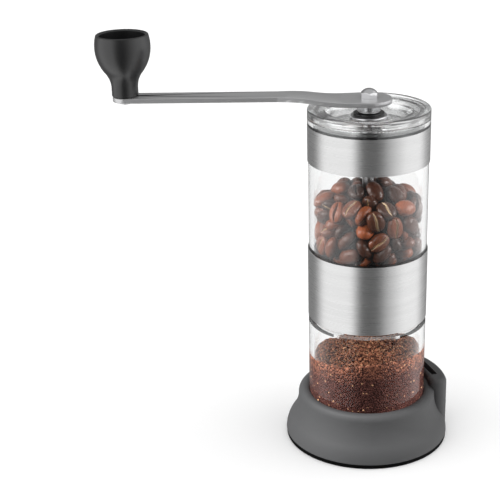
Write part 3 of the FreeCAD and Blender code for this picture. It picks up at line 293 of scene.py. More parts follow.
def math_value(tree, operation, *values):
    """The result of a math node, whose values are constants or other nodes' outputs."""
    node = add_node(tree, "ShaderNodeMath", operation=operation)
    for index, value in enumerate(values):
        if isinstance(value, bpy.types.NodeSocket):
            tree.links.new(value, node.inputs[index])
        else:
            node.inputs[index].default_value = value
    return node.outputs["Value"]


def mapped(tree, source, limits, **settings):
    """A value taken from one range to another."""
    node = add_node(tree, "ShaderNodeMapRange", limits, **settings)
    tree.links.new(source, node.inputs["Value"])
    return node.outputs["Result"]


def spread(tree, source, low, high):
    """A value spread between two limits by the middle range of a mask."""
    limits = {"From Min": MASK_LOW, "From Max": MASK_HIGH, "To Min": low, "To Max": high}
    return mapped(tree, source, limits)


def shaded(color, share):
    """A colour made darker or lighter, with full alpha."""
    return (*[min(channel * share, 1.0) for channel in color], 1.0)


def shade_color(tree, source, color, dark, light):
    """A colour that varies between a darker and a lighter shade of itself."""
    node = add_node(tree, "ShaderNodeMix", data_type="RGBA")
    node.inputs["A"].default_value = shaded(color, dark)
    node.inputs["B"].default_value = shaded(color, light)
    tree.links.new(source, node.inputs["Factor"])
    return node.outputs["Result"]


def add_bump(tree, shader, source, distance, strength):
    """Raises a surface by a height map."""
    bump = add_node(tree, "ShaderNodeBump", {"Strength": strength, "Distance": distance})
    tree.links.new(source, bump.inputs["Height"])
    tree.links.new(bump.outputs["Normal"], shader.inputs["Normal"])


def island_value(tree, stretch):
    """A random value for each loose piece of a mesh; each stretch gives other values."""
    island = add_node(tree, "ShaderNodeNewGeometry")
    many = math_value(tree, "MULTIPLY", island.outputs["Random Per Island"], stretch)
    return math_value(tree, "FRACT", many)


def mixed(tree, factor, first, second):
    """A colour between two colours, each a constant or another node's output."""
    node = add_node(tree, "ShaderNodeMix", data_type="RGBA")
    tree.links.new(factor, node.inputs["Factor"])
    for name, color in (("A", first), ("B", second)):
        if isinstance(color, bpy.types.NodeSocket):
            tree.links.new(color, node.inputs[name])
        else:
            node.inputs[name].default_value = shaded(color, 1.0)
    return node.outputs["Result"]


# Finishes


GRAIN_SHADES = 0.14
GRAIN_ROUGHS = 0.05
GRAIN_STRENGTH = 0.6
BRUSH_SHADES = 0.08
BRUSH_ROUGHS = 0.07
BRUSH_STRETCH = 0.6
BRUSH_DEPTH = 0.02 * MILLIMETRE
BRUSH_STRENGTH = 0.35
# Painted shade: inside a band the steel keeps this share of its colour.
INSIDE_PAINTED_SHADE = 0.3
POLISH_SHADES = 0.05
POLISH_ROUGHS = (0.07, 0.14)
CLEAR_ROUGHS = (0.0, 0.008)
COAT_INDEX = 2.2
# Rays that were bent more often than this go straight on, and each face passes this share of the light.
MOST_BENDS = 3.5
LIGHT_THROUGH = 0.5
# Half the height of the ring that is drawn plainly, and how plainly.
PLAIN_HALF = 1.7 * MILLIMETRE
PLAIN_SHARE = 0.8


def grained_finish(name, color, rough, grains, bump):
    """A moulded, fired or rubber surface with fine grain and soft smudges."""
    material, tree, shader = new_material(name)
    grain = put_group(tree, moulded_grain(), {"Grains per metre": grains})
    smudge = grain.outputs["Smudge"]
    tint = shade_color(tree, smudge, color, 1.0 - GRAIN_SHADES, 1.0 + GRAIN_SHADES)
    tree.links.new(tint, shader.inputs["Base Color"])
    roughness = spread(tree, smudge, rough - GRAIN_ROUGHS, rough + GRAIN_ROUGHS)
    tree.links.new(roughness, shader.inputs["Roughness"])
    add_bump(tree, shader, grain.outputs["Height"], bump, GRAIN_STRENGTH)
    return material


def brushed_finish(name, color, lines, rough, axis, turn, metal=0.9, painted_shade_r=0.0):
    """Brushed steel whose lines run round an axis, or along a strip, and darker inside a radius."""
    material, tree, shader = new_material(name)
    brush = put_group(tree, brush_lines(), {"Lines per metre": lines})
    tint = shade_color(tree, brush.outputs["Bands"], color, 1.0 - BRUSH_SHADES, 1.0 + BRUSH_SHADES)
    place = add_node(tree, "ShaderNodeTexCoord")
    flat = add_node(tree, "ShaderNodeVectorMath", {1: (1.0, 1.0, 0.0)}, operation="MULTIPLY")
    reach = add_node(tree, "ShaderNodeVectorMath", operation="LENGTH")
    tree.links.new(place.outputs["Object"], flat.inputs[0])
    tree.links.new(flat.outputs["Vector"], reach.inputs[0])
    # Painted shade: inside the given radius the steel is drawn darker.
    inside = math_value(tree, "LESS_THAN", reach.outputs["Value"], painted_shade_r)
    painted_shade = tuple(channel * INSIDE_PAINTED_SHADE for channel in color)
    tree.links.new(mixed(tree, inside, tint, painted_shade), shader.inputs["Base Color"])
    roughness = spread(tree, brush.outputs["Lines"], rough - BRUSH_ROUGHS, rough + BRUSH_ROUGHS)
    tree.links.new(roughness, shader.inputs["Roughness"])
    shader.inputs["Metallic"].default_value = metal
    shader.inputs["Anisotropic"].default_value = BRUSH_STRETCH
    shader.inputs["Anisotropic Rotation"].default_value = turn
    tangent = add_node(tree, "ShaderNodeTangent", direction_type="RADIAL", axis=axis)
    tree.links.new(tangent.outputs["Tangent"], shader.inputs["Tangent"])
    add_bump(tree, shader, brush.outputs["Lines"], BRUSH_DEPTH, BRUSH_STRENGTH)
    return material


def polished_finish(name, color):
    """Bright steel with faint smudges."""
    material, tree, shader = new_material(name)
    grain = put_group(tree, moulded_grain())
    smudge = grain.outputs["Smudge"]
    tint = shade_color(tree, smudge, color, 1.0 - POLISH_SHADES, 1.0 + POLISH_SHADES)
    tree.links.new(tint, shader.inputs["Base Color"])
    tree.links.new(spread(tree, smudge, *POLISH_ROUGHS), shader.inputs["Roughness"])
    shader.inputs["Metallic"].default_value = 1.0
    return material


def clear_finish(name, color, index, gloss, coat, plain_z):
    """Clear plastic that passes light to what it holds, and is plain behind several walls and in a ring."""
    material, tree, shader = new_material(name)
    grain = put_group(tree, moulded_grain())
    shader.inputs["Base Color"].default_value = shaded(color, 1.0)
    shader.inputs["IOR"].default_value = index
    shader.inputs["Specular Tint"].default_value = shaded((1.0, 1.0, 1.0), gloss)
    shader.inputs["Transmission Weight"].default_value = 1.0
    shader.inputs["Coat Weight"].default_value = coat
    shader.inputs["Coat IOR"].default_value = COAT_INDEX
    tree.links.new(spread(tree, grain.outputs["Smudge"], *CLEAR_ROUGHS), shader.inputs["Roughness"])
    rays = add_node(tree, "ShaderNodeLightPath").outputs
    place = add_node(tree, "ShaderNodeTexCoord")
    parts = add_node(tree, "ShaderNodeSeparateXYZ")
    tree.links.new(place.outputs["Object"], parts.inputs["Vector"])
    lighting = math_value(tree, "MAXIMUM", rays["Is Shadow Ray"], rays["Is Diffuse Ray"])
    deep = math_value(tree, "GREATER_THAN", rays["Transmission Depth"], MOST_BENDS)
    ring = math_value(tree, "COMPARE", parts.outputs["Z"], plain_z, PLAIN_HALF)
    plain = math_value(tree, "MAXIMUM", deep, math_value(tree, "MULTIPLY", ring, PLAIN_SHARE))
    through = add_node(tree, "ShaderNodeBsdfTransparent")
    shade = tuple(channel * LIGHT_THROUGH for channel in color)
    tree.links.new(mixed(tree, lighting, color, shade), through.inputs["Color"])
    choice = add_node(tree, "ShaderNodeMixShader")
    tree.links.new(math_value(tree, "MAXIMUM", lighting, plain), choice.inputs["Fac"])
    tree.links.new(shader.outputs["BSDF"], choice.inputs[1])
    tree.links.new(through.outputs["BSDF"], choice.inputs[2])
    tree.links.new(choice.outputs["Shader"], tree.nodes["Material Output"].inputs["Surface"])
    return material


BEAN_GRAINS = 800.0
BEAN_SKEW = 2.0
BEAN_SCORCH = {"From Min": 0.45, "From Max": 0.75, "To Max": 0.6}
BEAN_ROUGHS = (0.22, 0.38)
BEAN_SPECULAR = 0.12
BEAN_WRINKLE = 0.5 * MILLIMETRE
BEAN_STRENGTH = 0.8
CREASE_NARROWING = 1.6
SHADE_DRAW = 1.0
PALE_DRAW = 7.31


def bean_finish(beans):
    """Roasted skin: each bean its own shade, wrinkled, with dark or pale skin in its crease."""
    material, tree, shader = new_material("roasted_bean")
    grain = put_group(tree, moulded_grain(), {"Grains per metre": BEAN_GRAINS})
    height = grain.outputs["Height"]
    crease = add_node(tree, "ShaderNodeAttribute", attribute_name="crease").outputs["Fac"]
    skew = math_value(tree, "POWER", island_value(tree, SHADE_DRAW), BEAN_SKEW)
    roast = mixed(tree, skew, beans.dark, beans.light)
    skin = mixed(tree, mapped(tree, height, BEAN_SCORCH), roast, beans.dark)
    # Painted shade: the crease is drawn in the darkest roast's colour.
    groove = mixed(tree, crease, skin, beans.dark)
    pale = math_value(tree, "GREATER_THAN", island_value(tree, PALE_DRAW), 1.0 - beans.pale_share)
    thread = math_value(tree, "MULTIPLY", math_value(tree, "POWER", crease, CREASE_NARROWING), pale)
    tree.links.new(mixed(tree, thread, groove, beans.crease), shader.inputs["Base Color"])
    tree.links.new(spread(tree, height, *BEAN_ROUGHS), shader.inputs["Roughness"])
    shader.inputs["Specular IOR Level"].default_value = BEAN_SPECULAR
    add_bump(tree, shader, height, BEAN_WRINKLE, BEAN_STRENGTH)
    return material


GROUNDS_SKEW = 1.5
GROUNDS_ROUGHS = (0.5, 0.85)
GROUNDS_SPECULAR = 0.04
GROUNDS_DEPTH = -0.6
GROUNDS_STRENGTH = 0.9
TOP_DARKENING = 0.4
PALEST = 0.8


def grounds_finish(grounds, name, grain, low_light, usual):
    """Coffee grains, each with its own brown, darker with depth, and pale ones past the usual share."""
    material, tree, shader = new_material(name)
    place = add_node(tree, "ShaderNodeTexCoord")
    cells = add_node(tree, "ShaderNodeTexVoronoi", {"Scale": 1.0 / grain, "Randomness": 1.0})
    tree.links.new(place.outputs["Object"], cells.inputs["Vector"])
    shades = add_node(tree, "ShaderNodeSeparateColor")
    tree.links.new(cells.outputs["Color"], shades.inputs["Color"])
    skew = math_value(tree, "POWER", shades.outputs["Red"], GROUNDS_SKEW)
    depth = add_node(tree, "ShaderNodeAttribute", attribute_name="depth")
    sunk = mapped(tree, depth.outputs["Fac"], {"From Max": grounds.fade, "To Min": TOP_DARKENING})
    light = mixed(tree, sunk, grounds.light, low_light)
    brown = mixed(tree, skew, grounds.dark, light)
    rare = mapped(tree, shades.outputs["Blue"], {"From Min": usual, "From Max": 1.0, "To Max": PALEST})
    tree.links.new(mixed(tree, rare, brown, grounds.chaff), shader.inputs["Base Color"])
    tree.links.new(spread(tree, shades.outputs["Green"], *GROUNDS_ROUGHS), shader.inputs["Roughness"])
    shader.inputs["Specular IOR Level"].default_value = GROUNDS_SPECULAR
    add_bump(tree, shader, cells.outputs["Distance"], GROUNDS_DEPTH * grain, GROUNDS_STRENGTH)
    return material


def wear(material, *nodes):
    """Gives solids one finish."""
    for name in nodes:
        NODES[name].data.materials.clear()
        NODES[name].data.materials.append(material)


WELD_REACH = 0.001 * MILLIMETRE
SHARP_EDGE = math.radians(40.0)


def soften(width, *nodes):
    """Rounds the sharp edges of solids a little, as they are seen."""
    for name in nodes:
        weld = NODES[name].modifiers.new("edge_weld", "WELD")
        weld.merge_threshold = WELD_REACH
        bevel = NODES[name].modifiers.new("edge_round", "BEVEL")
        bevel.width = width
        bevel.segments = 2
        bevel.limit_method = "ANGLE"
        bevel.angle_limit = SHARP_EDGE
        bevel.harden_normals = True


def shortening_spring(material):
    """Puts a spring in place of the solid one, which shortens under its washer as the cone burr rises."""
    spring = bpy.data.objects.new("pressed_spring", NODES["burr_spring"].data.copy())
    bpy.context.scene.collection.objects.link(spring)
    spring.data.materials.clear()
    spring.data.materials.append(material)
    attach(spring, "shaft")
    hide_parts("burr_spring")
    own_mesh(spring)


# Operators


FOOT_SPECULAR = 0.05
SHOULDER_DROP = 1.6 * MILLIMETRE
# No wall reaches this height, so no ring is plain there.
NO_RING_Z = -1.0
# The bands' painted shade starts this far inside their outer face.
BAND_SKIN = 0.3 * MILLIMETRE
ROUND_LINES = (40.0, 40.0, 2600.0)
STRIP_LINES = (40.0, 2600.0, 2600.0)
QUARTER_TURN = 0.25
ARM_METAL = 0.65


class GRINDER_OT_base(bpy.types.Operator):
    """Finish the soft base and its foot pad"""

    bl_idname = "grinder.base"
    bl_label = "Base and foot"

    def execute(self, context):
        finish = context.scene.grinder_finish
        silicone = grained_finish(
            "silicone_grey", finish.silicone, rough=0.62, grains=2600.0, bump=0.06 * MILLIMETRE)
        wear(silicone, "silicone_base")
        # Painted shadow: the foot pad's near-black also draws the contact shadow under the skirt.
        rubber = grained_finish(
            "foot_black", finish.foot, rough=0.75, grains=2200.0, bump=0.05 * MILLIMETRE)
        shader = rubber.node_tree.nodes["Principled BSDF"]
        shader.inputs["Specular IOR Level"].default_value = FOOT_SPECULAR
        wear(rubber, "foot_pad")
        return {"FINISHED"}


class GRINDER_OT_clear(bpy.types.Operator):
    """Finish the clear hopper, jar and lid, and the gasket"""

    bl_idname = "grinder.clear"
    bl_label = "Clear plastic"

    def execute(self, context):
        finish = context.scene.grinder_finish
        clear = (finish.acrylic, finish.acrylic_index)
        shoulder_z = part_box("middle_band")[0].z - SHOULDER_DROP
        wear(clear_finish("clear_hopper", *clear, gloss=0.9, coat=0.0, plain_z=NO_RING_Z), "bean_hopper")
        wear(clear_finish("clear_lid", *clear, gloss=1.0, coat=1.0, plain_z=NO_RING_Z), "lid")
        wear(clear_finish("clear_jar", *clear, gloss=0.15, coat=0.0, plain_z=shoulder_z), "grounds_jar")
        seal = grained_finish("soft_seal", finish.seal, rough=0.6, grains=2400.0, bump=0.04 * MILLIMETRE)
        wear(seal, "jar_gasket")
        return {"FINISHED"}


class GRINDER_OT_steel(bpy.types.Operator):
    """Finish the bands, the crank arm and the fittings, and put in a spring that shortens"""

    bl_idname = "grinder.steel"
    bl_label = "Steel"

    def execute(self, context):
        finish = context.scene.grinder_finish
        # The bands' inner faces get painted shade, standing for the shade inside the hopper.
        painted_shade_r = reach_of("upper_band") - BAND_SKIN
        turning = {"lines": ROUND_LINES, "rough": 0.30, "axis": "Z", "turn": QUARTER_TURN}
        band = brushed_finish("brushed_band", finish.steel, **turning, painted_shade_r=painted_shade_r)
        wear(band, "upper_band", "middle_band")
        arm = brushed_finish(
            "brushed_arm", finish.arm, STRIP_LINES, rough=0.34, axis="X", turn=0.0, metal=ARM_METAL)
        wear(arm, "crank_arm")
        wear(polished_finish("polished_steel", finish.chrome), "lid_ferrule", "drive_spindle", "cap_nut")
        turned = brushed_finish("turned_steel", finish.arm, **turning)
        wear(
            turned, "burr_shaft", "shaft_clip", "spindle_clip", "thrust_washer",
            "carrier_screws", "knob_stud", "adjusting_nut")
        shortening_spring(turned)
        soften(finish.edge_round, "knob_stud")
        soften(2 * finish.edge_round, "crank_arm", "cap_nut")
        return {"FINISHED"}


class GRINDER_OT_black(bpy.types.Operator):
    """Finish the knob and the other black pieces"""

    bl_idname = "grinder.black"
    bl_label = "Black plastic"

    def execute(self, context):
        finish = context.scene.grinder_finish
        satin = grained_finish(
            "satin_black", finish.black, rough=0.32, grains=1800.0, bump=0.02 * MILLIMETRE)
        wear(satin, "crank_knob", "knob_washer", "lid_bush", "shaft_bush", "burr_carrier", "burr_driver")
        return {"FINISHED"}


class GRINDER_OT_burrs(bpy.types.Operator):
    """Finish the ceramic burrs"""

    bl_idname = "grinder.burrs"
    bl_label = "Burrs"

    def execute(self, context):
        finish = context.scene.grinder_finish
        fired = grained_finish(
            "fired_ceramic", finish.ceramic, rough=0.5, grains=3000.0, bump=0.05 * MILLIMETRE)
        wear(fired, "outer_burr", "inner_burr")
        return {"FINISHED"}


BEAN_RINGS = 18
BEAN_BACK = 12
BEAN_FACE = 22
BEAN_SIDES = BEAN_BACK + BEAN_FACE
BEAN_BLUNTNESS = 0.85
BACK_SHARE = 0.60
FACE_SHARE = 0.40
FACE_CROWDING = 1.7
FACE_FLATNESS = 3
CREASE_SHARE = 0.24
CREASE_WIDTH = 0.10
CREASE_SWAY = 0.12
CREASE_WAVES = 2.6


def bean_section(width, depth, along, swell):
    """Points and crease mask round one section of a bean: over its domed back, then across its face."""
    crease_y = CREASE_SWAY * math.sin(CREASE_WAVES * along)
    points = []
    for step in range(BEAN_BACK):
        angle = math.pi * step / BEAN_BACK
        height = BACK_SHARE * depth * swell * math.sin(angle)
        points.append((width / 2 * swell * math.cos(angle), height, 0.0))
    for step in range(BEAN_FACE):
        even = 2 * step / BEAN_FACE - 1
        fine = math.copysign(abs(even) ** FACE_CROWDING, even)
        across = fine + crease_y * (1 - abs(fine))
        groove = math.exp(-(((across - crease_y) / CREASE_WIDTH) ** 2)) * swell
        bulge = math.sqrt(max(1 - abs(across) ** FACE_FLATNESS, 0.0))
        height = (CREASE_SHARE * groove - FACE_SHARE * bulge) * depth * swell
        points.append((width / 2 * swell * across, height, groove))
    return points


def bean_shape(length, width, depth):
    """Corners, faces and crease mask of one bean, flat side down."""
    corners = [(length / 2, 0.0, 0.0)]
    mask = [0.0]
    for ring in range(1, BEAN_RINGS):
        lean = math.pi * ring / BEAN_RINGS
        along = math.cos(lean)
        for y, z, groove in bean_section(width, depth, along, math.sin(lean) ** BEAN_BLUNTNESS):
            corners.append((length / 2 * along, y, z))
            mask.append(groove)
    corners.append((-length / 2, 0.0, 0.0))
    mask.append(0.0)
    last = len(corners) - 1
    faces = []
    for side in range(BEAN_SIDES):
        beside = (side + 1) % BEAN_SIDES
        faces.append((0, 1 + side, 1 + beside))
        for ring in range(BEAN_RINGS - 2):
            near = 1 + ring * BEAN_SIDES
            far = near + BEAN_SIDES
            faces.append((near + side, far + side, far + beside, near + beside))
        near = 1 + (BEAN_RINGS - 2) * BEAN_SIDES
        faces.append((near + side, last, near + beside))
    return np.array(corners), faces, np.array(mask)


def random_turns(chance, count):
    """Even random rotations, as matrices."""
    spin = chance.normal(size=(count, 4))
    w, x, y, z = (spin / np.linalg.norm(spin, axis=1)[:, None]).T
    rows = [
        [1 - 2 * (y * y + z * z), 2 * (x * y - z * w), 2 * (x * z + y * w)],
        [2 * (x * y + z * w), 1 - 2 * (x * x + z * z), 2 * (y * z - x * w)],
        [2 * (x * z - y * w), 2 * (y * z + x * w), 1 - 2 * (x * x + y * y)],
    ]
    return np.moveaxis(np.array(rows), 2, 0)


def heap_height(beans, radius):
    """Height of the heap's surface at a radius."""
    return beans.heap_top_z - (beans.heap_top_z - beans.heap_wall_z) * radius / beans.hopper_r


TINY = 1e-6


def keep_in_hopper(beans, points, ball):
    """Moves that bring balls back into the space between funnel, hopper, hub and heap."""
    flat = np.linalg.norm(points[..., :2], axis=-1)
    outward = points[..., :2] / np.maximum(flat, TINY)[..., None]
    height = points[..., 2]
    move = np.zeros_like(points)
    over = np.maximum(flat + ball - beans.hopper_r, 0.0)
    move[..., :2] -= outward * over[..., None]
    middle = np.where(height < top_of("shaft_bush"), beans.hub_r, beans.shaft_r)
    under = np.maximum(middle + ball - flat, 0.0)
    move[..., :2] += outward * under[..., None]
    slope = (beans.funnel_top_z - beans.throat_z) / (beans.funnel_top_r - beans.throat_r)
    lean = 1.0 / math.hypot(1.0, slope)
    sunk = (beans.throat_z + (flat - beans.throat_r) * slope - height) * lean + ball
    sunk = np.where(flat < beans.funnel_top_r + ball, np.maximum(sunk, 0.0), 0.0)
    move[..., 2] += sunk * lean
    move[..., :2] -= outward * (sunk * lean * slope)[..., None]
    floor = np.maximum(beans.throat_z + ball - height, 0.0)
    move[..., 2] += floor
    proud = np.maximum(height + ball - heap_height(beans, flat), 0.0)
    move[..., 2] -= proud
    return move


# Four balls stand for a bean while it is pushed.
BALLS_ALONG = 0.26
BALLS_ACROSS = 0.17
BALL_SHARE = 0.96
NEAR_LENGTHS = 1.15
EACH_SHARE = 0.5
PUSH_SHARE = 0.6
START_AREAS = (0.05, 0.85)
START_HEIGHTS = (0.05, 0.95)
BEAN_SIZES = (0.90, 1.02)


def pack_beans(beans):
    """Places and turns of the beans, pushed apart round by round, and the random draws to go on with."""
    chance = np.random.RandomState(beans.seed)
    count = beans.count
    ball = beans.depth / 2 * BALL_SHARE
    layout = np.array([
        (BALLS_ALONG * beans.length * a, BALLS_ACROSS * beans.width * b, 0.0)
        for a in (-1, 1) for b in (-1, 1)
    ])
    radius = beans.hopper_r * np.sqrt(chance.uniform(*START_AREAS, count))
    angle = chance.uniform(0.0, 2 * math.pi, count)
    low = beans.throat_z + (beans.funnel_top_z - beans.throat_z) * radius / beans.hopper_r
    height = low + (heap_height(beans, radius) - low) * chance.uniform(*START_HEIGHTS, count)
    middles = np.stack([radius * np.cos(angle), radius * np.sin(angle), height], axis=1)
    turns = random_turns(chance, count)
    for _ in range(beans.steps):
        points = middles[:, None, :] + np.einsum("nij,kj->nki", turns, layout)
        move = keep_in_hopper(beans, points, ball)
        apart = np.linalg.norm(middles[:, None, :] - middles[None, :, :], axis=2)
        first, second = np.nonzero(np.triu(apart < NEAR_LENGTHS * beans.length, 1))
        gap = points[first][:, :, None, :] - points[second][:, None, :, :]
        far = np.maximum(np.linalg.norm(gap, axis=-1), TINY)
        push = gap / far[..., None] * (np.maximum(2 * ball - far, 0.0) * EACH_SHARE)[..., None]
        np.add.at(move, first, push.sum(axis=2) * PUSH_SHARE)
        np.add.at(move, second, -push.sum(axis=1) * PUSH_SHARE)
        points = points + move
        middles = points.mean(axis=1)
        spread_out = np.einsum("nki,kj->nij", points - middles[:, None, :], layout)
        left, _, right = np.linalg.svd(spread_out)
        flip = np.sign(np.linalg.det(left @ right))
        left[:, :, 2] *= flip[:, None]
        turns = left @ right
    return middles, turns, chance


def link_mesh(name, corners, faces, smooth=True):
    """A new mesh object in the scene."""
    mesh = bpy.data.meshes.new(name)
    mesh.from_pydata([tuple(corner) for corner in corners], [], faces)
    mesh.validate()
    mesh.polygons.foreach_set("use_smooth", [smooth] * len(mesh.polygons))
    thing = bpy.data.objects.new(name, mesh)
    bpy.context.scene.collection.objects.link(thing)
    return thing


WALL_GAP = 0.1 * MILLIMETRE


class GRINDER_OT_beans(bpy.types.Operator):
    """Fill the hopper with roasted beans"""

    bl_idname = "grinder.beans"
    bl_label = "Beans"

    def execute(self, context):
        beans = context.scene.grinder_beans
        shape, faces, mask = bean_shape(beans.length, beans.width, beans.depth)
        middles, turns, chance = pack_beans(beans)
        corners = []
        heap_faces = []
        for index in range(beans.count):
            size = chance.uniform(*BEAN_SIZES, 3)
            step = index * len(shape)
            corners.append((shape * size) @ turns[index].T + middles[index])
            heap_faces += [tuple(corner + step for corner in face) for face in faces]
        corners = np.concatenate(corners)
        flat = np.linalg.norm(corners[:, :2], axis=1)
        limit = beans.hopper_r - WALL_GAP
        corners[:, :2] *= np.minimum(limit / np.maximum(flat, limit), 1.0)[:, None]
        heap = link_mesh("coffee_beans", corners, heap_faces)
        crease = heap.data.attributes.new("crease", "FLOAT", "POINT")
        crease.data.foreach_set("value", np.tile(mask, beans.count).astype(np.float32))
        heap.data.materials.append(bean_finish(beans))
        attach(heap, "mill")
        return {"FINISHED"}


GROUNDS_SIDES = 240
GROUNDS_LAYERS = 40
GROUNDS_RINGS = 60
GRAIN_CORNERS = np.array([(1, 0, 0), (-1, 0, 0), (0, 1, 0), (0, -1, 0), (0, 0, 1), (0, 0, -1)], float)
GRAIN_FACES = [(0, 2, 4), (2, 1, 4), (1, 3, 4), (3, 0, 4), (2, 0, 5), (1, 2, 5), (3, 1, 5), (0, 3, 5)]


# Lumps and roughness of the heap, loose grains, all in sizes of a grain.
LUMP_WIDTH = 7
LUMP_HEIGHT = 0.9
ROUGH_WIDTH = 0.8
ROUGH_HEIGHT = 0.45
GRAIN_LIFT = 0.2
GRAIN_HALVES = (0.35, 0.75)
# Shares of the grains that are not pale.
PRESSED_USUAL = 0.98
LOOSE_USUAL = 0.88


def grounds_height(grounds, x, y):
    """Height of the loose heap at a place, with its lumps."""
    lengthwise = grounds.back_slope if y > grounds.peak_y else grounds.front_slope
    sideways = grounds.side_slope * (x - grounds.peak_x)
    fall = math.hypot(sideways, lengthwise * (y - grounds.peak_y), grounds.crown)
    lump = noise.noise(Vector((x, y, 0.0)) / (LUMP_WIDTH * grounds.grain))
    return grounds.peak_z + grounds.crown - fall + LUMP_HEIGHT * grounds.grain * lump


def heap_body(grounds):
    """Corners and faces of the heap, which faces are of its loose top, and each corner's depth under it."""
    outer = grounds.jar_r + grounds.cling
    low = grounds.floor_z - grounds.cling
    rows = []
    depths = []
    for layer in range(GROUNDS_LAYERS + GROUNDS_RINGS):
        row = []
        for side in range(GROUNDS_SIDES):
            angle = 2 * math.pi * side / GROUNDS_SIDES
            ahead = Vector((math.cos(angle), math.sin(angle), 0.0))
            if layer < GROUNDS_LAYERS:
                wall = grounds_height(grounds, outer * ahead.x, outer * ahead.y)
                height = low + (wall - low) * layer / GROUNDS_LAYERS
                lift = max(grounds.floor_round - (height - low), 0.0)
                inset = grounds.floor_round - math.sqrt(max(grounds.floor_round ** 2 - lift ** 2, 0.0))
                row.append(ahead * (outer - inset) + Vector((0.0, 0.0, height)))
                depths.append(wall - height)
            else:
                reach = outer * (1 - (layer - GROUNDS_LAYERS) / GROUNDS_RINGS)
                point = ahead * reach
                point.z = grounds_height(grounds, point.x, point.y)
                bump = noise.noise(point / (ROUGH_WIDTH * grounds.grain))
                point.z += ROUGH_HEIGHT * grounds.grain * bump
                row.append(point)
                depths.append(0.0)
        rows.append(row)
    corners = [corner for row in rows for corner in row]
    corners.append((0.0, 0.0, low))
    corners.append((0.0, 0.0, grounds_height(grounds, 0.0, 0.0)))
    depths += [grounds.peak_z - low, 0.0]
    faces = []
    loose = []
    for side in range(GROUNDS_SIDES):
        beside = (side + 1) % GROUNDS_SIDES
        faces.append((len(corners) - 2, beside, side))
        loose += [0] * (GROUNDS_LAYERS + 2) + [1] * (GROUNDS_RINGS - 1)
        for row in range(len(rows) - 1):
            near = row * GROUNDS_SIDES
            far = near + GROUNDS_SIDES
            faces.append((near + side, near + beside, far + beside, far + side))
        near = (len(rows) - 1) * GROUNDS_SIDES
        faces.append((near + side, near + beside, len(corners) - 1))
    return corners, faces, loose, depths


class GRINDER_OT_grounds(bpy.types.Operator):
    """Fill the jar with ground coffee"""

    bl_idname = "grinder.grounds"
    bl_label = "Ground coffee"

    def execute(self, context):
        grounds = context.scene.grinder_grounds
        pressed = grounds_finish(grounds, "pressed_coffee", grounds.fines, grounds.pressed, PRESSED_USUAL)
        tumbled = grounds_finish(grounds, "loose_coffee", grounds.grain, grounds.light, LOOSE_USUAL)
        corners, faces, loose_faces, depths = heap_body(grounds)
        heap = link_mesh("ground_coffee", corners, faces)
        heap.data.materials.append(pressed)
        heap.data.polygons.foreach_set("material_index", loose_faces)
        heap.data.attributes.new("depth", "FLOAT", "POINT").data.foreach_set("value", depths)
        chance = np.random.RandomState(grounds.seed)
        turns = random_turns(chance, grounds.loose)
        corners = []
        faces = []
        for index in range(grounds.loose):
            reach = (grounds.jar_r - grounds.grain) * math.sqrt(chance.uniform())
            angle = chance.uniform(0.0, 2 * math.pi)
            x = reach * math.cos(angle)
            y = reach * math.sin(angle)
            middle = np.array((x, y, grounds_height(grounds, x, y) + GRAIN_LIFT * grounds.grain))
            half = grounds.grain * chance.uniform(*GRAIN_HALVES, 3)
            corners.append((GRAIN_CORNERS * half) @ turns[index].T + middle)
            step = index * len(GRAIN_CORNERS)
            faces += [tuple(corner + step for corner in face) for face in GRAIN_FACES]
        loose = link_mesh("loose_grains", np.concatenate(corners), faces, False)
        for piece in (heap, loose):
            piece.data.materials.append(tumbled)
            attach(piece, "jar")
        return {"FINISHED"}


# Brightness of the surround at each angle from the front, in degrees, above zero to the right.
AZIMUTH_LIGHT = [
    (-180.0, 0.22), (-150.0, 0.28), (-128.0, 0.30), (-116.0, 0.50), (-94.0, 1.85), (-33.0, 1.85),
    (-22.0, 0.75), (-13.0, 0.14), (12.0, 0.12), (22.0, 0.26), (38.0, 0.90), (72.0, 1.85),
    (108.0, 1.85), (128.0, 0.80), (150.0, 0.36), (180.0, 0.22),
]
# Parts of a direction, upward and backward, over which the overhead light and white backdrop fade in.
ABOVE_FADE = {"From Min": 0.5, "From Max": 0.9}
BEHIND_FADE = {"From Min": -0.9, "From Max": -0.5}


def studio_world(studio):
    """Two soft lights beside a dark gap in front, an overhead light, and plain white where it is seen."""
    world = bpy.data.worlds.new("studio_light")
    world.use_nodes = True
    tree = world.node_tree
    background = tree.nodes["Background"]
    rays = add_node(tree, "ShaderNodeLightPath").outputs
    place = add_node(tree, "ShaderNodeTexCoord")
    parts = add_node(tree, "ShaderNodeSeparateXYZ")
    tree.links.new(place.outputs["Generated"], parts.inputs["Vector"])
    front = math_value(tree, "MULTIPLY", parts.outputs["Y"], -1.0)
    azimuth = math_value(tree, "ARCTAN2", parts.outputs["X"], front)
    share = mapped(tree, azimuth, {"From Min": -math.pi, "From Max": math.pi})
    ramp = add_node(tree, "ShaderNodeValToRGB")
    tree.links.new(share, ramp.inputs["Fac"])
    stops = ramp.color_ramp.elements
    while len(stops) > 1:
        stops.remove(stops[-1])
    for index, (degrees, level) in enumerate(AZIMUTH_LIGHT):
        position = (degrees + 180.0) / 360.0
        stop = stops[0] if index == 0 else stops.new(position)
        stop.position = position
        stop.color = shaded((level, level, level), 1.0 / studio.light)
    above = mapped(tree, parts.outputs["Z"], ABOVE_FADE, interpolation_type="SMOOTHSTEP")
    behind = mapped(tree, parts.outputs["Y"], BEHIND_FADE, interpolation_type="SMOOTHSTEP")
    levels = {"To Min": studio.overhead, "To Max": studio.mirrored}
    lit = mixed(tree, above, ramp.outputs["Color"], mapped(tree, rays["Is Glossy Ray"], levels))
    through = math_value(tree, "MULTIPLY", rays["Is Transmission Ray"], behind)
    bare = math_value(tree, "MAXIMUM", rays["Is Camera Ray"], through)
    white = [1.0 / studio.light] * 3
    tree.links.new(mixed(tree, bare, lit, white), background.inputs["Color"])
    background.inputs["Strength"].default_value = studio.light
    return world


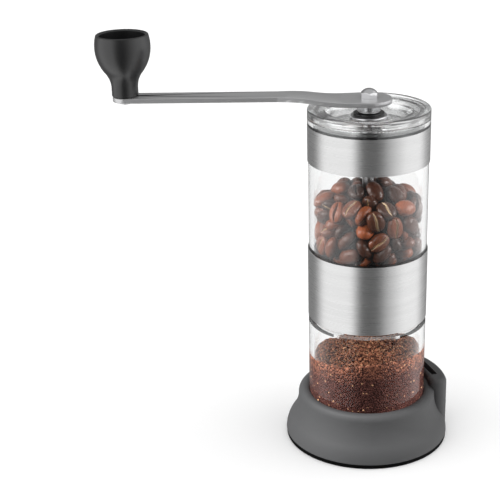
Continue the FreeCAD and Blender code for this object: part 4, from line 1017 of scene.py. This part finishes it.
def soft_lamp(name, place, power, size, lit):
    """A square lamp that lights only the pieces it is given."""
    lamp = bpy.data.lights.new(name, "AREA")
    lamp.energy = power
    lamp.size = size
    light = bpy.data.objects.new(name, lamp)
    bpy.context.scene.collection.objects.link(light)
    aim = sum((Vector(corner) for corner in CAD_BOX), Vector()) / 2
    light.location = place
    light.rotation_euler = (aim - Vector(place)).to_track_quat("-Z", "Y").to_euler()
    group = bpy.data.collections.new(name)
    for thing in lit:
        group.objects.link(thing)
    light.light_linking.receiver_collection = group


FLOOR_HALF = 2.0
FLOOR_DROP = 0.2 * MILLIMETRE
FLOOR_ROUGH = 0.9
FLOOR_SIGNS = ((-1, -1), (1, -1), (1, 1), (-1, 1))


class GRINDER_OT_studio(bpy.types.Operator):
    """Set up the floor, the light and the camera"""

    bl_idname = "grinder.studio"
    bl_label = "Studio"

    def execute(self, context):
        scene = context.scene
        studio = scene.grinder_studio
        corners = [(x * FLOOR_HALF, y * FLOOR_HALF, -FLOOR_DROP) for x, y in FLOOR_SIGNS]
        floor = link_mesh("studio_floor", corners, [(0, 1, 2, 3)], False)
        material, _, shader = new_material("studio_floor")
        shader.inputs["Base Color"].default_value = shaded(studio.floor, 1.0)
        shader.inputs["Roughness"].default_value = FLOOR_ROUGH
        shader.inputs["Specular IOR Level"].default_value = 0.0
        floor.data.materials.append(material)
        floor.visible_glossy = False
        floor.visible_transmission = False
        scene.world = studio_world(studio)
        contents = [bpy.data.objects[name] for name in ("coffee_beans", "ground_coffee", "loose_grains")]
        base = [NODES["silicone_base"]]
        x, y, z = studio.side_place
        soft_lamp("key_light", studio.key_place, studio.key_power, studio.lamp_size, contents[:1])
        soft_lamp("top_light", studio.top_place, studio.top_power, studio.lamp_size, base)
        soft_lamp("right_light", (x, y, z), studio.side_power, studio.lamp_size, contents)
        soft_lamp("left_light", (-x, y, z), studio.side_power, studio.lamp_size, contents)
        scene.view_settings.view_transform = "Standard"
        eye = bpy.data.cameras.new("photo_camera")
        eye.lens = studio.lens
        camera = bpy.data.objects.new("photo_camera", eye)
        scene.collection.objects.link(camera)
        turn = Matrix.Rotation(-studio.camera_heading, 4, "Z")
        tilt = Matrix.Rotation(math.pi / 2 + studio.camera_pitch, 4, "X")
        roll = Matrix.Rotation(-studio.camera_roll, 4, "Z")
        camera.matrix_world = Matrix.Translation(studio.camera_place) @ turn @ tilt @ roll
        scene.camera = camera
        return {"FINISHED"}


OPERATORS = [
    GRINDER_OT_base, GRINDER_OT_clear, GRINDER_OT_steel, GRINDER_OT_black, GRINDER_OT_burrs,
    GRINDER_OT_beans, GRINDER_OT_grounds, GRINDER_OT_studio,
]
GROUPS = {
    "grinder_finish": GrinderFinish, "grinder_beans": GrinderBeans, "grinder_grounds": GrinderGrounds,
    "grinder_studio": GrinderStudio,
}


class GRINDER_PT_panel(bpy.types.Panel):
    """Lists the grinder's operators and values"""

    bl_idname = "GRINDER_PT_panel"
    bl_label = "Coffee Grinder"
    bl_space_type = "VIEW_3D"
    bl_region_type = "UI"
    bl_category = "Grinder"

    def draw(self, context):
        for operator in OPERATORS:
            self.layout.operator(operator.bl_idname)
        for label, group in GROUPS.items():
            column = self.layout.column(heading=group.__doc__)
            for name in group.__annotations__:
                column.prop(getattr(context.scene, label), name)


def register():
    """Registers the values, the operators and the panel."""
    for label, group in GROUPS.items():
        bpy.utils.register_class(group)
        setattr(bpy.types.Scene, label, PointerProperty(type=group))
    for item in [*OPERATORS, GRINDER_PT_panel]:
        bpy.utils.register_class(item)


def unregister():
    """Takes them back in reverse."""
    for item in reversed([*OPERATORS, GRINDER_PT_panel]):
        bpy.utils.unregister_class(item)
    for label, group in GROUPS.items():
        delattr(bpy.types.Scene, label)
        bpy.utils.unregister_class(group)


def main():
    """Dresses the grinder, sets up the studio and writes the two sizes."""
    register()
    bpy.ops.grinder.base()
    bpy.ops.grinder.clear()
    bpy.ops.grinder.steel()
    bpy.ops.grinder.black()
    bpy.ops.grinder.burrs()
    bpy.ops.grinder.beans()
    bpy.ops.grinder.grounds()
    bpy.ops.grinder.studio()


if __name__ == "__main__":
    main()
